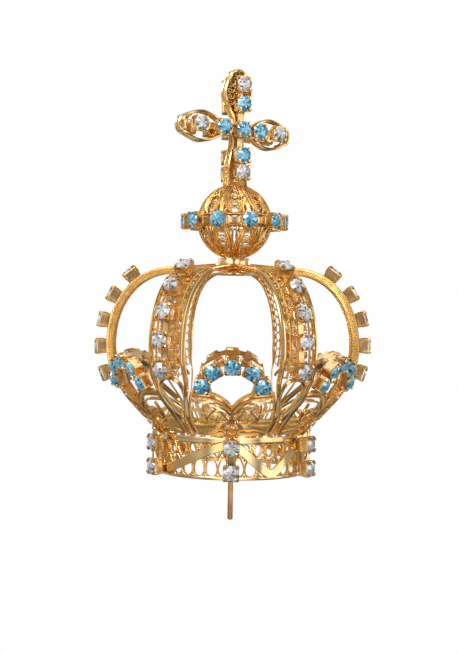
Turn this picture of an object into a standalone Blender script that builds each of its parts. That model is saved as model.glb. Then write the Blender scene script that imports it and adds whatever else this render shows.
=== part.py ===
"""A small filigree crown for a devotional statue, with six arches, an orb and a cross.

The crown stands upright on the Z axis and its front faces -Y. The origin is the centre of the
band's underside, where the fixing pin leaves it. All sizes are in metres. An azimuth is an angle
round the Z axis from the front, positive towards +X.
"""

import math

import bmesh
import bpy
from mathutils import Matrix, Vector

# Clearance between soldered pieces
GAP = 0.00025

# Band
BAND_RADIUS = 0.0147
BAND_HEIGHT = 0.0080
BAND_WALL = 0.0008
BAND_RIM_HEIGHT = 0.0009
BAND_LOOPS = 28
BAND_LOOP_SINK = 0.0003

# Ribbon laid in a zigzag round the band
RIBBON_WIDTH = 0.0016
RIBBON_THICKNESS = 0.0004
RIBBON_EDGE = 0.0004

# Outline of the arches, which the fleurons share at their foot
FOOT_FLARE = 0.0006
CAGE_RADIUS = 0.0250
CAGE_BULGE_Z = 0.0250
SHOULDER_RADIUS = 0.0122
SHOULDER_DROP = 0.0007
CROWN_Z = 0.0413

# Arches
ARCH_COUNT = 6
ARCH_WIDTH = 0.0073
ARCH_THICKNESS = 0.0014
ARCH_END_WIDTH = 0.0040
ARCH_STEM_WIDTH = 0.0020
ARCH_RAIL_WIDTH = 0.0008
ARCH_WEB_SINK = 0.0004
ARCH_STATIONS = 14
DROP_BOTTOM_Z = 0.0112
DROP_TOP_Z = 0.0195
DROP_WIDTH = 0.0045
DROP_SIDES = 10

# Fleurons
FLEURON_WALL = 0.0009
FLEURON_NOTCH_Z = 0.0140
FLEURON_SIDE_Z = 0.0170
FLEURON_REAR_NOTCH_Z = 0.0106
FLEURON_REAR_END_Z = 0.0125
FLEURON_LOBE = 0.68
FLEURON_RELIEF = 0.0003

# Stones in box settings, and the strips that link them
CUP_WIDTH = 0.0031
CUP_BASE_WIDTH = 0.0022
CUP_DEPTH = 0.0020
STONE_RISE = 0.0004
STONE_TABLE_SHARE = 0.62
STRIP_THICKNESS = 0.0003

# Stone chains on the arches
CHAIN_STONES = 5
CHAIN_FIRST_HEIGHTS = (0.0216, 0.0205, 0.0208, 0.0208, 0.0198, 0.0216)
CHAIN_PITCH = 0.00495

# Stone bows over the fleurons
BOW_STONES = 5
BOW_HALF_WIDTH = 0.0056
BOW_RISE = 0.0045
BOW_STEP = math.radians(41.0)
BOW_LIFT = 0.0005
BOW_TILT = math.radians(22.0)
BOW_STANDOFF = 0.0009

# Stone pairs on the band
PAIR_LOW_Z = 0.0017
PAIR_HIGH_Z = 0.0064

# Collar under the orb
COLLAR_RADIUS = 0.0033
COLLAR_WALL = 0.0008
COLLAR_TOP_Z = 0.0424
COLLAR_PLATE_RADIUS = 0.0056
COLLAR_PLATE_THICKNESS = 0.0005
COLLAR_SIDES = 16

# Orb
ORB_RADIUS = 0.00745
ORB_WALL = 0.0007
ORB_PETALS = 8
ORB_RIB_SHARE = 0.30
ORB_LATITUDES = (90.0, 66.0, 20.0, -20.0, -66.0, -90.0)
ORB_BELT_STANDOFF = 0.0003
ORB_BELT_AZIMUTHS = (17.0, 52.0, 88.0, 124.0, 160.0, 196.0, 232.0, 270.0, 306.0, 341.0)

# Cross
CROSS_TURN = math.radians(27.0)
CROSS_DROOP = math.radians(-3.0)
CROSS_DEPTH = 0.0022
CROSS_TOP_ARM = 0.0121
CROSS_LEFT_ARM = 0.0131
CROSS_RIGHT_ARM = 0.0119
CROSS_FOOT = 0.0104
CROSS_NECK_HALF_WIDTH = 0.0012
CROSS_LEAF_HALF_WIDTH = 0.0032
CROSS_FOOT_HALF_WIDTH = 0.0023
CROSS_FRAME = 0.0007
CROSS_UPRIGHT_STONES = (-0.0085, -0.0051, 0.0, 0.0050, 0.0089)
CROSS_RIGHT_STONES = (0.0037, 0.0081)
CROSS_LEFT_STONES = (0.0042, 0.0093)
CROSS_ARM_LIFT = 0.00005

# Pin and its bridge
PIN_RADIUS = 0.00055
PIN_ROOT_RADIUS = 0.0010
PIN_LENGTH = 0.0099
PIN_SIDES = 8
BRIDGE_WIDTH = 0.0020
BRIDGE_THICKNESS = 0.0009
BRIDGE_Z = 0.0004

# Derived places
BAY = math.tau / ARCH_COUNT
FOOT_RADIUS = BAND_RADIUS + FOOT_FLARE
FOOT_Z = BAND_HEIGHT + GAP
SHOULDER_Z = CROWN_Z - SHOULDER_DROP
ORB_SEAT_RADIUS = COLLAR_RADIUS - COLLAR_WALL
ORB_Z = COLLAR_TOP_Z + math.sqrt((ORB_RADIUS + GAP) ** 2 - ORB_SEAT_RADIUS ** 2)
CROSS_Z = ORB_Z + ORB_RADIUS + GAP + CROSS_FOOT

GOLD = (0.80, 0.47, 0.13, 1.0)
POLISHED_GOLD = (0.86, 0.56, 0.20, 1.0)
PIN_BRASS = (0.62, 0.36, 0.13, 1.0)
CLEAR_STONE = (0.74, 0.74, 0.76, 1.0)
BLUE_STONE = (0.18, 0.45, 0.62, 1.0)

# Corners of a pointed opening inside a cell, as shares of the cell, from its lower tip round
OPENING_SHAPE = ((0.50, 0.08), (0.86, 0.34), (0.80, 0.74), (0.50, 0.94), (0.20, 0.74), (0.14, 0.34))


def empty_scene():
    """Remove whatever the file holds."""
    for item in list(bpy.data.objects):
        bpy.data.objects.remove(item, do_unlink=True)


def new_collection(name):
    """Make a collection under the scene."""
    group = bpy.data.collections.new(name)
    bpy.context.scene.collection.children.link(group)
    return group


def metal(name, colour, roughness):
    """Make a metallic material."""
    finish = bpy.data.materials.new(name)
    finish.use_nodes = True
    shader = finish.node_tree.nodes["Principled BSDF"]
    shader.inputs["Base Color"].default_value = colour
    shader.inputs["Metallic"].default_value = 1.0
    shader.inputs["Roughness"].default_value = roughness
    return finish


def stone(name, colour):
    """Make a glossy stone material."""
    finish = bpy.data.materials.new(name)
    finish.use_nodes = True
    shader = finish.node_tree.nodes["Principled BSDF"]
    shader.inputs["Base Color"].default_value = colour
    shader.inputs["Roughness"].default_value = 0.08
    return finish


def direction(azimuth):
    """Give the horizontal direction at an azimuth from the front."""
    return Vector((math.sin(azimuth), -math.cos(azimuth), 0.0))


def sideways(azimuth):
    """Give the horizontal direction along the band at an azimuth."""
    return Vector((math.cos(azimuth), math.sin(azimuth), 0.0))


def polar(radius, azimuth, z):
    """Give the point at a radius, an azimuth and a height."""
    return direction(azimuth) * radius + Vector((0.0, 0.0, z))


def smooth(value):
    """Ease from 0 to 1."""
    share = min(max(value, 0.0), 1.0)
    return share * share * (3.0 - 2.0 * share)


def bezier(points, share):
    """Read a cubic curve through four control points."""
    start, first, second, end = (Vector(point) for point in points)
    back = 1.0 - share
    return (start * back ** 3 + first * (3.0 * back ** 2 * share)
            + second * (3.0 * back * share ** 2) + end * share ** 3)


class CageOutline:
    """The outline of the arches in radius and height, read by its arc length."""

    SAMPLES = 60

    def __init__(self):
        rise = CAGE_BULGE_Z - FOOT_Z
        spread = CAGE_RADIUS - FOOT_RADIUS
        lower = ((FOOT_RADIUS, FOOT_Z), (FOOT_RADIUS + 0.26 * spread, FOOT_Z + 0.17 * rise),
                 (CAGE_RADIUS, CAGE_BULGE_Z - 0.47 * rise), (CAGE_RADIUS, CAGE_BULGE_Z))
        climb = SHOULDER_Z - CAGE_BULGE_Z
        draw = CAGE_RADIUS - SHOULDER_RADIUS
        upper = ((CAGE_RADIUS, CAGE_BULGE_Z), (CAGE_RADIUS, CAGE_BULGE_Z + 0.51 * climb),
                 (SHOULDER_RADIUS + 0.65 * draw, SHOULDER_Z - 0.02 * climb),
                 (SHOULDER_RADIUS, SHOULDER_Z))
        shares = [step / self.SAMPLES for step in range(self.SAMPLES + 1)]
        self.points = [bezier(lower, share) for share in shares]
        self.points += [bezier(upper, share) for share in shares[1:]]
        self.points.append(Vector((COLLAR_RADIUS + GAP, CROWN_Z)))
        self.lengths = [0.0]
        for before, after in zip(self.points, self.points[1:]):
            self.lengths.append(self.lengths[-1] + (after - before).length)

    def total(self):
        """Give the whole arc length."""
        return self.lengths[-1]

    def at(self, length):
        """Give radius and height at an arc length."""
        length = min(max(length, 0.0), self.total())
        for index in range(1, len(self.points)):
            if length <= self.lengths[index]:
                span = self.lengths[index] - self.lengths[index - 1]
                share = (length - self.lengths[index - 1]) / span
                return self.points[index - 1].lerp(self.points[index], share)
        return self.points[-1]

    def tangent(self, length):
        """Give the direction in which radius and height run at an arc length."""
        step = self.total() / 200.0
        return (self.at(length + step) - self.at(length - step)).normalized()

    def length_at_height(self, z):
        """Give the arc length at which the outline first reaches a height."""
        for index in range(1, len(self.points)):
            low = self.points[index - 1].y
            high = self.points[index].y
            if high >= z:
                share = (z - low) / (high - low)
                span = self.lengths[index] - self.lengths[index - 1]
                return self.lengths[index - 1] + max(share, 0.0) * span
        return self.total()

    def radius_at_height(self, z):
        """Give the radius at which the outline first reaches a height."""
        return self.at(self.length_at_height(z)).x


def add_object(name, mesh, group, material):
    """Put a mesh in the crown's collection under a node name."""
    item = bpy.data.objects.new(name, mesh)
    group.objects.link(item)
    item.data.materials.clear()
    item.data.materials.append(material)
    return item


def mesh_from(name, build):
    """Make a mesh from a bmesh, with its faces turned outwards."""
    bmesh.ops.recalc_face_normals(build, faces=build.faces)
    mesh = bpy.data.meshes.new(name)
    build.to_mesh(mesh)
    build.free()
    return mesh


def sweep(rings, closed=False):
    """Join rings of the same number of points into a closed bar or a closed loop."""
    build = bmesh.new()
    rows = [[build.verts.new(point) for point in ring] for ring in rings]
    pairs = list(zip(rows, rows[1:]))
    if closed:
        pairs.append((rows[-1], rows[0]))
    sides = len(rows[0])
    for lower, upper in pairs:
        for index in range(sides):
            after = (index + 1) % sides
            build.faces.new((lower[index], lower[after], upper[after], upper[index]))
    if not closed:
        build.faces.new(rows[0])
        build.faces.new(rows[-1])
    return build


def lattice(point_at, across, along, openings, closed=False):
    """Make a surface over a grid of cells, with a pointed opening in each cell listed.

    point_at takes a place across, a place along and whether it is on an opening's edge.
    """
    build = bmesh.new()
    columns = len(across) - 1
    corners = {}
    for column, place in enumerate(across[:-1] if closed else across):
        for row, height in enumerate(along):
            corners[column, row] = build.verts.new(point_at(place, height, False))
    for column in range(columns):
        after = (column + 1) % columns if closed else column + 1
        for row in range(len(along) - 1):
            cell = (corners[column, row], corners[after, row],
                    corners[after, row + 1], corners[column, row + 1])
            if (column, row) not in openings:
                build.faces.new(cell)
                continue
            width = across[column + 1] - across[column]
            height = along[row + 1] - along[row]
            edge = [build.verts.new(point_at(across[column] + share * width,
                                             along[row] + lift * height, True))
                    for share, lift in OPENING_SHAPE]
            build.faces.new((cell[0], cell[1], edge[0]))
            build.faces.new((cell[1], edge[1], edge[0]))
            build.faces.new((cell[1], cell[2], edge[2], edge[1]))
            build.faces.new((cell[2], edge[3], edge[2]))
            build.faces.new((cell[2], cell[3], edge[3]))
            build.faces.new((cell[3], edge[4], edge[3]))
            build.faces.new((cell[3], cell[0], edge[5], edge[4]))
            build.faces.new((cell[0], edge[0], edge[5]))
    return build


def thicken(item, wall):
    """Give an open surface a wall on its inner side, and split its bent faces."""
    shell = item.modifiers.new("wall", "SOLIDIFY")
    shell.thickness = wall
    shell.offset = -1.0
    facets = item.modifiers.new("facets", "TRIANGULATE")
    facets.quad_method = "SHORTEST_DIAGONAL"


def turned(name, profile, sides, closed=False):
    """Turn a profile of radius and height round the Z axis with a Screw modifier."""
    mesh = bpy.data.meshes.new(name)
    edges = [(index, index + 1) for index in range(len(profile) - 1)]
    if closed:
        edges.append((len(profile) - 1, 0))
    mesh.from_pydata([(radius, 0.0, z) for radius, z in profile], edges, [])
    item = bpy.data.objects.new(name, mesh)
    lathe = item.modifiers.new("lathe", "SCREW")
    lathe.steps = sides
    lathe.render_steps = sides
    lathe.use_merge_vertices = True
    lathe.merge_threshold = 0.00001
    return item


class Seat:
    """Where a stone's cup stands: the middle of its base, the strip's run and the cup's axis."""

    def __init__(self, place, run, axis):
        self.place = Vector(place)
        self.run = Vector(run).normalized()
        self.axis = Vector(axis).normalized()
        self.side = self.axis.cross(self.run)

    def corner(self, along, aside, out):
        """Give a point by its distances along the run, aside and out along the axis."""
        return self.place + self.run * along + self.side * aside + self.axis * out


def stone_chain(seats, closed=False, bare_start=False):
    """Make a strip that links the seats, and on each seat a tapered cup with its stone.

    A bare start leaves the first seat without its cup, so that the strip can join another.
    """
    build = bmesh.new()
    half_base = CUP_BASE_WIDTH / 2.0
    half_rim = CUP_WIDTH / 2.0
    rim_height = STRIP_THICKNESS + CUP_DEPTH
    table_radius = half_rim * STONE_TABLE_SHARE
    rows = []
    for seat in seats:
        ends = []
        for along in (-half_base, half_base):
            ring = ((-half_base, 0.0), (half_base, 0.0),
                    (half_base, STRIP_THICKNESS), (-half_base, STRIP_THICKNESS))
            ends.append([build.verts.new(seat.corner(along, aside, out)) for aside, out in ring])
        start, end = ends
        for index in range(3):
            build.faces.new((start[index], start[index + 1], end[index + 1], end[index])
                            if index != 2 else (start[3], start[0], end[0], end[3]))
        base = (start[3], start[2], end[2], end[3])
        if bare_start and not rows:
            build.faces.new(base)
            rows.append((start, end))
            continue
        rim = [build.verts.new(seat.corner(along * half_rim, aside * half_rim, rim_height))
               for along, aside in ((-1, -1), (-1, 1), (1, 1), (1, -1))]
        table = []
        for turn in range(8):
            angle = math.radians(45.0 * turn + 202.5)
            table.append(build.verts.new(seat.corner(
                table_radius * math.cos(angle), table_radius * math.sin(angle),
                rim_height + STONE_RISE)))
        table = [table[0], table[7], table[6], table[5], table[4], table[3], table[2], table[1]]
        for index in range(4):
            after = (index + 1) % 4
            build.faces.new((base[index], base[after], rim[after], rim[index]))
            build.faces.new((rim[index], table[2 * index + 1], table[2 * index]))
            build.faces.new((rim[index], rim[after], table[(2 * index + 2) % 8],
                             table[2 * index + 1]))
        build.faces.new(table)
        rows.append((start, end))
    links = list(zip(rows, rows[1:]))
    if closed:
        links.append((rows[-1], rows[0]))
    for before, after in links:
        for index in range(4):
            follow = (index + 1) % 4
            build.faces.new((before[1][index], before[1][follow], after[0][follow], after[0][index]))
    if not closed:
        build.faces.new(rows[0][0])
        build.faces.new(rows[-1][1])
    return build


def boolean(item, cutter, operation):
    """Cut or join an object with another, which is kept as a hidden guide."""
    change = item.modifiers.new(cutter.name, "BOOLEAN")
    change.operation = operation
    change.object = cutter
    change.solver = "EXACT"


def hide_guide(item, guides):
    """File a cutter with the guides and keep it out of renders."""
    guides.objects.link(item)
    item.hide_render = True
    item.display_type = "WIRE"


class Crown:
    """Builds every piece of the crown."""

    def __init__(self):
        self.pieces = new_collection("marian_crown")
        self.guides = new_collection("cutters")
        self.outline = CageOutline()
        self.gold = metal("filigree_gold", GOLD, 0.32)
        self.polished = metal("polished_gold", POLISHED_GOLD, 0.16)
        self.pin_metal = metal("pin_brass", PIN_BRASS, 0.35)
        self.clear = stone("clear_stone", CLEAR_STONE)
        self.blue = stone("blue_stone", BLUE_STONE)

    def build(self):
        """Build the pieces from the band up."""
        self.band()
        self.band_ribbon()
        for number in range(ARCH_COUNT):
            fleuron_azimuth = number * BAY
            arch_azimuth = fleuron_azimuth + BAY / 2.0
            self.arch(number + 1, arch_azimuth)
            self.arch_chain(number + 1, arch_azimuth)
            self.fleuron(number + 1, fleuron_azimuth)
            self.bow(number + 1, fleuron_azimuth)
            self.pair(number + 1, fleuron_azimuth)
        self.collar()
        self.orb()
        self.orb_belt()
        self.cross()
        self.cross_stones("cross_front_stones", 1.0)
        self.cross_stones("cross_back_stones", -1.0)
        self.bridge()
        self.pin()

    def add(self, name, build, material):
        """Add a node made from a bmesh."""
        return add_object(name, mesh_from(name, build), self.pieces, material)

    def band(self):
        """The openwork band: two rims and a ring of pointed loops between them."""
        steps = [BAY * ARCH_COUNT * index / BAND_LOOPS for index in range(BAND_LOOPS + 1)]
        levels = (0.0, BAND_RIM_HEIGHT, BAND_HEIGHT - BAND_RIM_HEIGHT, BAND_HEIGHT)
        openings = {(column, 1) for column in range(BAND_LOOPS)}

        def point_at(azimuth, z, on_opening):
            sink = BAND_LOOP_SINK if on_opening else 0.0
            return polar(BAND_RADIUS - sink, azimuth, z)

        band = self.add("band", lattice(point_at, steps, levels, openings, closed=True), self.gold)
        thicken(band, BAND_WALL)

    def band_ribbon(self):
        """The polished ribbon, which falls and climbs between the stone pairs."""
        low = RIBBON_EDGE + RIBBON_WIDTH / 2.0
        high = BAND_HEIGHT - RIBBON_EDGE - RIBBON_WIDTH / 2.0
        turns = ((0.0, high), (0.5, low), (1.0, high), (2.0, low), (3.0, high), (3.5, low),
                 (4.0, high), (5.0, low), (6.0, high))
        inner = BAND_RADIUS + GAP
        outer = inner + RIBBON_THICKNESS
        steps_per_bay = 6
        rings = []
        for (start, start_z), (end, end_z) in zip(turns, turns[1:]):
            steps = round((end - start) * steps_per_bay)
            for step in range(steps):
                share = step / steps
                azimuth = (start + (end - start) * share) * BAY
                z = start_z + (end_z - start_z) * smooth(share)
                bottom = z - RIBBON_WIDTH / 2.0
                top = z + RIBBON_WIDTH / 2.0
                rings.append([polar(inner, azimuth, bottom), polar(outer, azimuth, bottom),
                              polar(outer, azimuth, top), polar(inner, azimuth, top)])
        self.add("band_ribbon", sweep(rings, closed=True), self.polished)

    def arch_width(self, length):
        """Give the arch's width: a stem at the foot, full at the bulge, drawn in at the top."""
        place = self.outline.at(length)
        open_from = DROP_BOTTOM_Z - ARCH_RAIL_WIDTH
        spread = smooth((place.y - open_from) / (DROP_TOP_Z - open_from))
        width = ARCH_STEM_WIDTH + (ARCH_WIDTH - ARCH_STEM_WIDTH) * spread
        if length > self.outline.length_at_height(CAGE_BULGE_Z):
            end = COLLAR_RADIUS + GAP
            draw = 1.0 - smooth((place.x - end) / (SHOULDER_RADIUS + COLLAR_RADIUS - end))
            width += (ARCH_END_WIDTH - ARCH_WIDTH) * draw
        return width

    def arch(self, number, azimuth):
        """One arch: a sunk web between two rails, cut open at the foot like a drop."""
        out = direction(azimuth)
        side = sideways(azimuth)
        up = Vector((0.0, 0.0, 1.0))
        rings = []
        for station in range(ARCH_STATIONS):
            length = self.outline.total() * station / (ARCH_STATIONS - 1)
            place = self.outline.at(length)
            tangent = self.outline.tangent(length)
            normal = out * tangent.y - up * tangent.x
            middle = out * place.x + up * place.y
            half = self.arch_width(length) / 2.0
            web = half - ARCH_RAIL_WIDTH
            section = ((-half, -ARCH_THICKNESS), (-half, 0.0), (-web, 0.0), (-web, -ARCH_WEB_SINK),
                       (web, -ARCH_WEB_SINK), (web, 0.0), (half, 0.0), (half, -ARCH_THICKNESS))
            rings.append([middle + side * aside + normal * raised for aside, raised in section])
        lowest = rings[0]
        for point in lowest:
            point.z = FOOT_Z
        arch = self.add(f"arch_{number}", sweep(rings), self.gold)
        boolean(arch, self.drop_cutter(number, azimuth), "DIFFERENCE")

    def drop_cutter(self, number, azimuth):
        """A prism with a drop shaped outline, pointed at the bottom, run out along the radius."""
        middle = (DROP_TOP_Z + DROP_BOTTOM_Z) / 2.0
        half_height = (DROP_TOP_Z - DROP_BOTTOM_Z) / 2.0
        rings = []
        for reach in (BAND_RADIUS * 0.5, CAGE_RADIUS * 1.3):
            ring = []
            for turn in range(DROP_SIDES):
                angle = math.tau * turn / DROP_SIDES
                aside = DROP_WIDTH / 2.0 * math.sin(angle) * math.sin(angle / 2.0) * 1.3
                z = middle - half_height * math.cos(angle)
                ring.append(polar(reach, azimuth, z) + sideways(azimuth) * aside)
            rings.append(ring)
        name = f"drop_cutter_{number}"
        cutter = bpy.data.objects.new(name, mesh_from(name, sweep(rings)))
        hide_guide(cutter, self.guides)
        return cutter

    def arch_chain(self, number, azimuth):
        """The clear stones along an arch, in the sunk web between its rails."""
        out = direction(azimuth)
        up = Vector((0.0, 0.0, 1.0))
        first = self.outline.length_at_height(CHAIN_FIRST_HEIGHTS[number - 1])
        seats = []
        for index in range(CHAIN_STONES):
            length = first + index * CHAIN_PITCH
            place = self.outline.at(length)
            tangent = self.outline.tangent(length)
            normal = out * tangent.y - up * tangent.x
            run = out * tangent.x + up * tangent.y
            base = out * place.x + up * place.y + normal * (GAP - ARCH_WEB_SINK)
            seats.append(Seat(base, run, normal))
        self.add(f"arch_stones_{number}", stone_chain(seats), self.clear)

    def fleuron_reach(self, z):
        """Give how far round a fleuron may run at a height before it meets an arch."""
        length = self.outline.length_at_height(z)
        radius = self.outline.radius_at_height(z)
        clear = (self.arch_width(length) / 2.0 + GAP * 1.3) / (radius - FLEURON_WALL)
        return BAY / 2.0 - math.asin(clear)

    def fleuron_crest(self, place, rear):
        """Give the crest's height: level beside the arches in front, two points at the rear."""
        reach = abs(place)
        if not rear:
            return FLEURON_NOTCH_Z + (FLEURON_SIDE_Z - FLEURON_NOTCH_Z) * (1 - (1 - reach) ** 4)
        if reach <= FLEURON_LOBE:
            return FLEURON_REAR_NOTCH_Z + (FLEURON_SIDE_Z - FLEURON_REAR_NOTCH_Z) * (reach / FLEURON_LOBE) ** 3
        fall = (reach - FLEURON_LOBE) / (1.0 - FLEURON_LOBE)
        return FLEURON_SIDE_Z + (FLEURON_REAR_END_Z - FLEURON_SIDE_Z) * fall

    def fleuron(self, number, azimuth):
        """A pair of leaf lobes that meet in a notch, with raised edges and sunk openings."""
        rear = math.cos(azimuth) < 0.0
        outer = FLEURON_LOBE if rear else 0.84
        across = (-1.0, -outer, -0.40, -0.14, 0.0, 0.14, 0.40, outer, 1.0)
        along = (0.0, 0.16, 0.82, 1.0)
        openings = {(1, 1), (2, 1), (5, 1), (6, 1)}
        edges = {-1.0, 0.0, 1.0}

        def point_at(place, share, on_opening):
            z = FOOT_Z + (self.fleuron_crest(place, rear) - FOOT_Z) * share
            raised = place in edges or share in (0.0, 1.0)
            sink = FLEURON_RELIEF * (2.0 if on_opening else (0.0 if raised else 1.0))
            radius = self.outline.radius_at_height(z) - sink
            return polar(radius, azimuth + place * self.fleuron_reach(z), z)

        leaf = self.add(f"fleuron_{number}", lattice(point_at, across, along, openings), self.gold)
        thicken(leaf, FLEURON_WALL)

    def bow(self, number, azimuth):
        """Five blue stones in a bow over a fleuron, turned a little down."""
        out = direction(azimuth)
        side = sideways(azimuth)
        up = Vector((0.0, 0.0, 1.0))
        axis = out * math.cos(BOW_TILT) - up * math.sin(BOW_TILT)
        rise = out * math.sin(BOW_TILT) + up * math.cos(BOW_TILT)
        depth = STRIP_THICKNESS + CUP_DEPTH + STONE_RISE
        reach = self.outline.radius_at_height(FLEURON_SIDE_Z) + BOW_STANDOFF
        middle = out * reach + up * (FLEURON_SIDE_Z + BOW_LIFT) - axis * depth
        seats = []
        for index in range(BOW_STONES):
            turn = BOW_STEP * (index - (BOW_STONES - 1) / 2.0)
            offset = side * (BOW_HALF_WIDTH * math.sin(turn)) + rise * (BOW_RISE * math.cos(turn))
            run = side * (BOW_HALF_WIDTH * math.cos(turn)) - rise * (BOW_RISE * math.sin(turn))
            seats.append(Seat(middle + offset, run, axis))
        self.add(f"fleuron_stones_{number}", stone_chain(seats), self.blue)

    def pair(self, number, azimuth):
        """Two clear stones, one over the other, on the band and its ribbon."""
        reach = BAND_RADIUS + GAP + RIBBON_THICKNESS + GAP
        seats = [Seat(polar(reach, azimuth, z), (0.0, 0.0, 1.0), direction(azimuth))
                 for z in (PAIR_LOW_Z, PAIR_HIGH_Z)]
        self.add(f"band_stones_{number}", stone_chain(seats), self.clear)

    def collar(self):
        """The collar: a short tube the orb sits in, with a plate under the arches' ends."""
        plate_top = CROWN_Z - ARCH_THICKNESS - GAP * 1.5
        plate_bottom = plate_top - COLLAR_PLATE_THICKNESS
        profile = ((ORB_SEAT_RADIUS, COLLAR_TOP_Z), (COLLAR_RADIUS, COLLAR_TOP_Z),
                   (COLLAR_RADIUS, plate_top), (COLLAR_PLATE_RADIUS, plate_top),
                   (COLLAR_PLATE_RADIUS, plate_bottom), (ORB_SEAT_RADIUS, plate_bottom))
        collar = turned("collar", profile, COLLAR_SIDES, closed=True)
        self.pieces.objects.link(collar)
        collar.data.materials.append(self.polished)

    def orb(self):
        """The orb: two bowls of pointed openings between meridian ribs."""
        petal = math.tau / ORB_PETALS
        steps = [petal * (index + share) for index in range(ORB_PETALS) for share in (0.0, ORB_RIB_SHARE)]
        steps.append(math.tau)
        levels = ORB_LATITUDES[1:-1][::-1]
        openings = {(2 * index + 1, row) for index in range(ORB_PETALS) for row in (0, 2)}

        def point_at(azimuth, latitude, on_opening):
            angle = math.radians(latitude)
            return polar(ORB_RADIUS * math.cos(angle), azimuth, ORB_Z + ORB_RADIUS * math.sin(angle))

        build = lattice(point_at, steps, levels, openings, closed=True)
        for latitude in (ORB_LATITUDES[0], ORB_LATITUDES[-1]):
            pole = build.verts.new(Vector((0.0, 0.0, ORB_Z + math.copysign(ORB_RADIUS, latitude))))
            rim_z = ORB_Z + ORB_RADIUS * math.sin(math.radians(math.copysign(ORB_LATITUDES[1], latitude)))
            rim = [edge for edge in build.edges if edge.is_boundary
                   and all(abs(vert.co.z - rim_z) < ORB_RADIUS * 0.001 for vert in edge.verts)]
            for edge in rim:
                build.faces.new((edge.verts[0], edge.verts[1], pole))
        orb = self.add("orb", build, self.gold)
        thicken(orb, ORB_WALL)

    def orb_belt(self):
        """Eight blue stones on a ring round the orb."""
        reach = ORB_RADIUS + GAP + ORB_BELT_STANDOFF
        seats = []
        for degrees in ORB_BELT_AZIMUTHS:
            azimuth = math.radians(degrees)
            seats.append(Seat(polar(reach, azimuth, ORB_Z), sideways(azimuth), direction(azimuth)))
        self.add("orb_stones", stone_chain(seats, closed=True), self.blue)

    def cross_place(self):
        """Give the cross's own frame: across, up and out of its front face."""
        turn = sideways(CROSS_TURN)
        face = direction(CROSS_TURN)
        place = Matrix.Identity(4)
        for row in range(3):
            place[row][0] = turn[row]
            place[row][1] = 1.0 if row == 2 else 0.0
            place[row][2] = face[row]
        place.translation = Vector((0.0, 0.0, CROSS_Z))
        return place

    def arm_outline(self, angle, reach, inset):
        """Give one arm's outline, out on one side of it and back on the other."""
        if reach == CROSS_FOOT:
            half = ((CROSS_NECK_HALF_WIDTH * 1.6, CROSS_NECK_HALF_WIDTH),
                    (reach * 0.55, CROSS_NECK_HALF_WIDTH * 1.25), (reach, CROSS_FOOT_HALF_WIDTH))
            inner = ((reach * 0.40, CROSS_NECK_HALF_WIDTH - inset * 0.8),
                     (reach * 0.90, CROSS_FOOT_HALF_WIDTH - inset * 1.3))
        else:
            half = ((CROSS_NECK_HALF_WIDTH * 1.6, CROSS_NECK_HALF_WIDTH),
                    (reach * 0.28, CROSS_NECK_HALF_WIDTH * 1.1),
                    (reach * 0.45, CROSS_LEAF_HALF_WIDTH * 0.88),
                    (reach * 0.64, CROSS_LEAF_HALF_WIDTH),
                    (reach * 0.85, CROSS_LEAF_HALF_WIDTH * 0.76),
                    (reach, CROSS_LEAF_HALF_WIDTH * 0.26))
            inner = ((reach * 0.36, CROSS_NECK_HALF_WIDTH * 0.45),
                     (reach * 0.45, CROSS_LEAF_HALF_WIDTH * 0.88 - inset),
                     (reach * 0.64, CROSS_LEAF_HALF_WIDTH - inset),
                     (reach * 0.85, CROSS_LEAF_HALF_WIDTH * 0.76 - inset),
                     (reach - inset * 1.4, CROSS_LEAF_HALF_WIDTH * 0.10))
        points = inner if inset else half
        along = Vector((math.cos(angle), math.sin(angle), 0.0))
        aside = Vector((-math.sin(angle), math.cos(angle), 0.0))
        out = [along * reach_along - aside * half_width for reach_along, half_width in points]
        back = [along * reach_along + aside * half_width for reach_along, half_width in reversed(points)]
        return out + back

    def cross(self):
        """The cross: one outline with a leaf shaped opening in each arm, cut through a plate."""
        arms = ((CROSS_DROOP, CROSS_RIGHT_ARM), (math.pi / 2.0, CROSS_TOP_ARM),
                (math.pi + CROSS_DROOP, CROSS_LEFT_ARM), (-math.pi / 2.0, CROSS_FOOT))
        outline = []
        openings = []
        for angle, reach in arms:
            outline += self.arm_outline(angle, reach, 0.0)
            openings.append(self.arm_outline(angle, reach, CROSS_FRAME))
        curve = bpy.data.curves.new("cross_outline", "CURVE")
        curve.dimensions = "2D"
        curve.fill_mode = "BOTH"
        curve.extrude = CROSS_DEPTH / 2.0
        for points in [outline] + openings:
            spline = curve.splines.new("POLY")
            spline.points.add(len(points) - 1)
            for control, point in zip(spline.points, points):
                control.co = (point.x, point.y, 0.0, 1.0)
            spline.use_cyclic_u = True
        flat = bpy.data.objects.new("cross_outline", curve)
        self.guides.objects.link(flat)
        shapes = bpy.context.evaluated_depsgraph_get()
        mesh = bpy.data.meshes.new_from_object(flat.evaluated_get(shapes))
        bpy.data.objects.remove(flat, do_unlink=True)
        build = bmesh.new()
        build.from_mesh(mesh)
        bmesh.ops.remove_doubles(build, verts=build.verts, dist=0.00001)
        bmesh.ops.transform(build, matrix=self.cross_place(), verts=build.verts)
        self.add("cross", build, self.gold)

    def cross_stones(self, name, front):
        """Nine stones on a cross shaped strip, on the front or the back of the cross."""
        place = self.cross_place()
        turn = place.to_3x3()
        face = Vector((0.0, 0.0, front))
        level = front * (CROSS_DEPTH / 2.0 + GAP)

        def seat(angle, reach, lift=0.0):
            run = Vector((math.cos(angle), math.sin(angle), 0.0))
            raised = face * lift + Vector((0.0, 0.0, level))
            return Seat(place @ (run * reach + raised), turn @ run, turn @ face)

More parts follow.
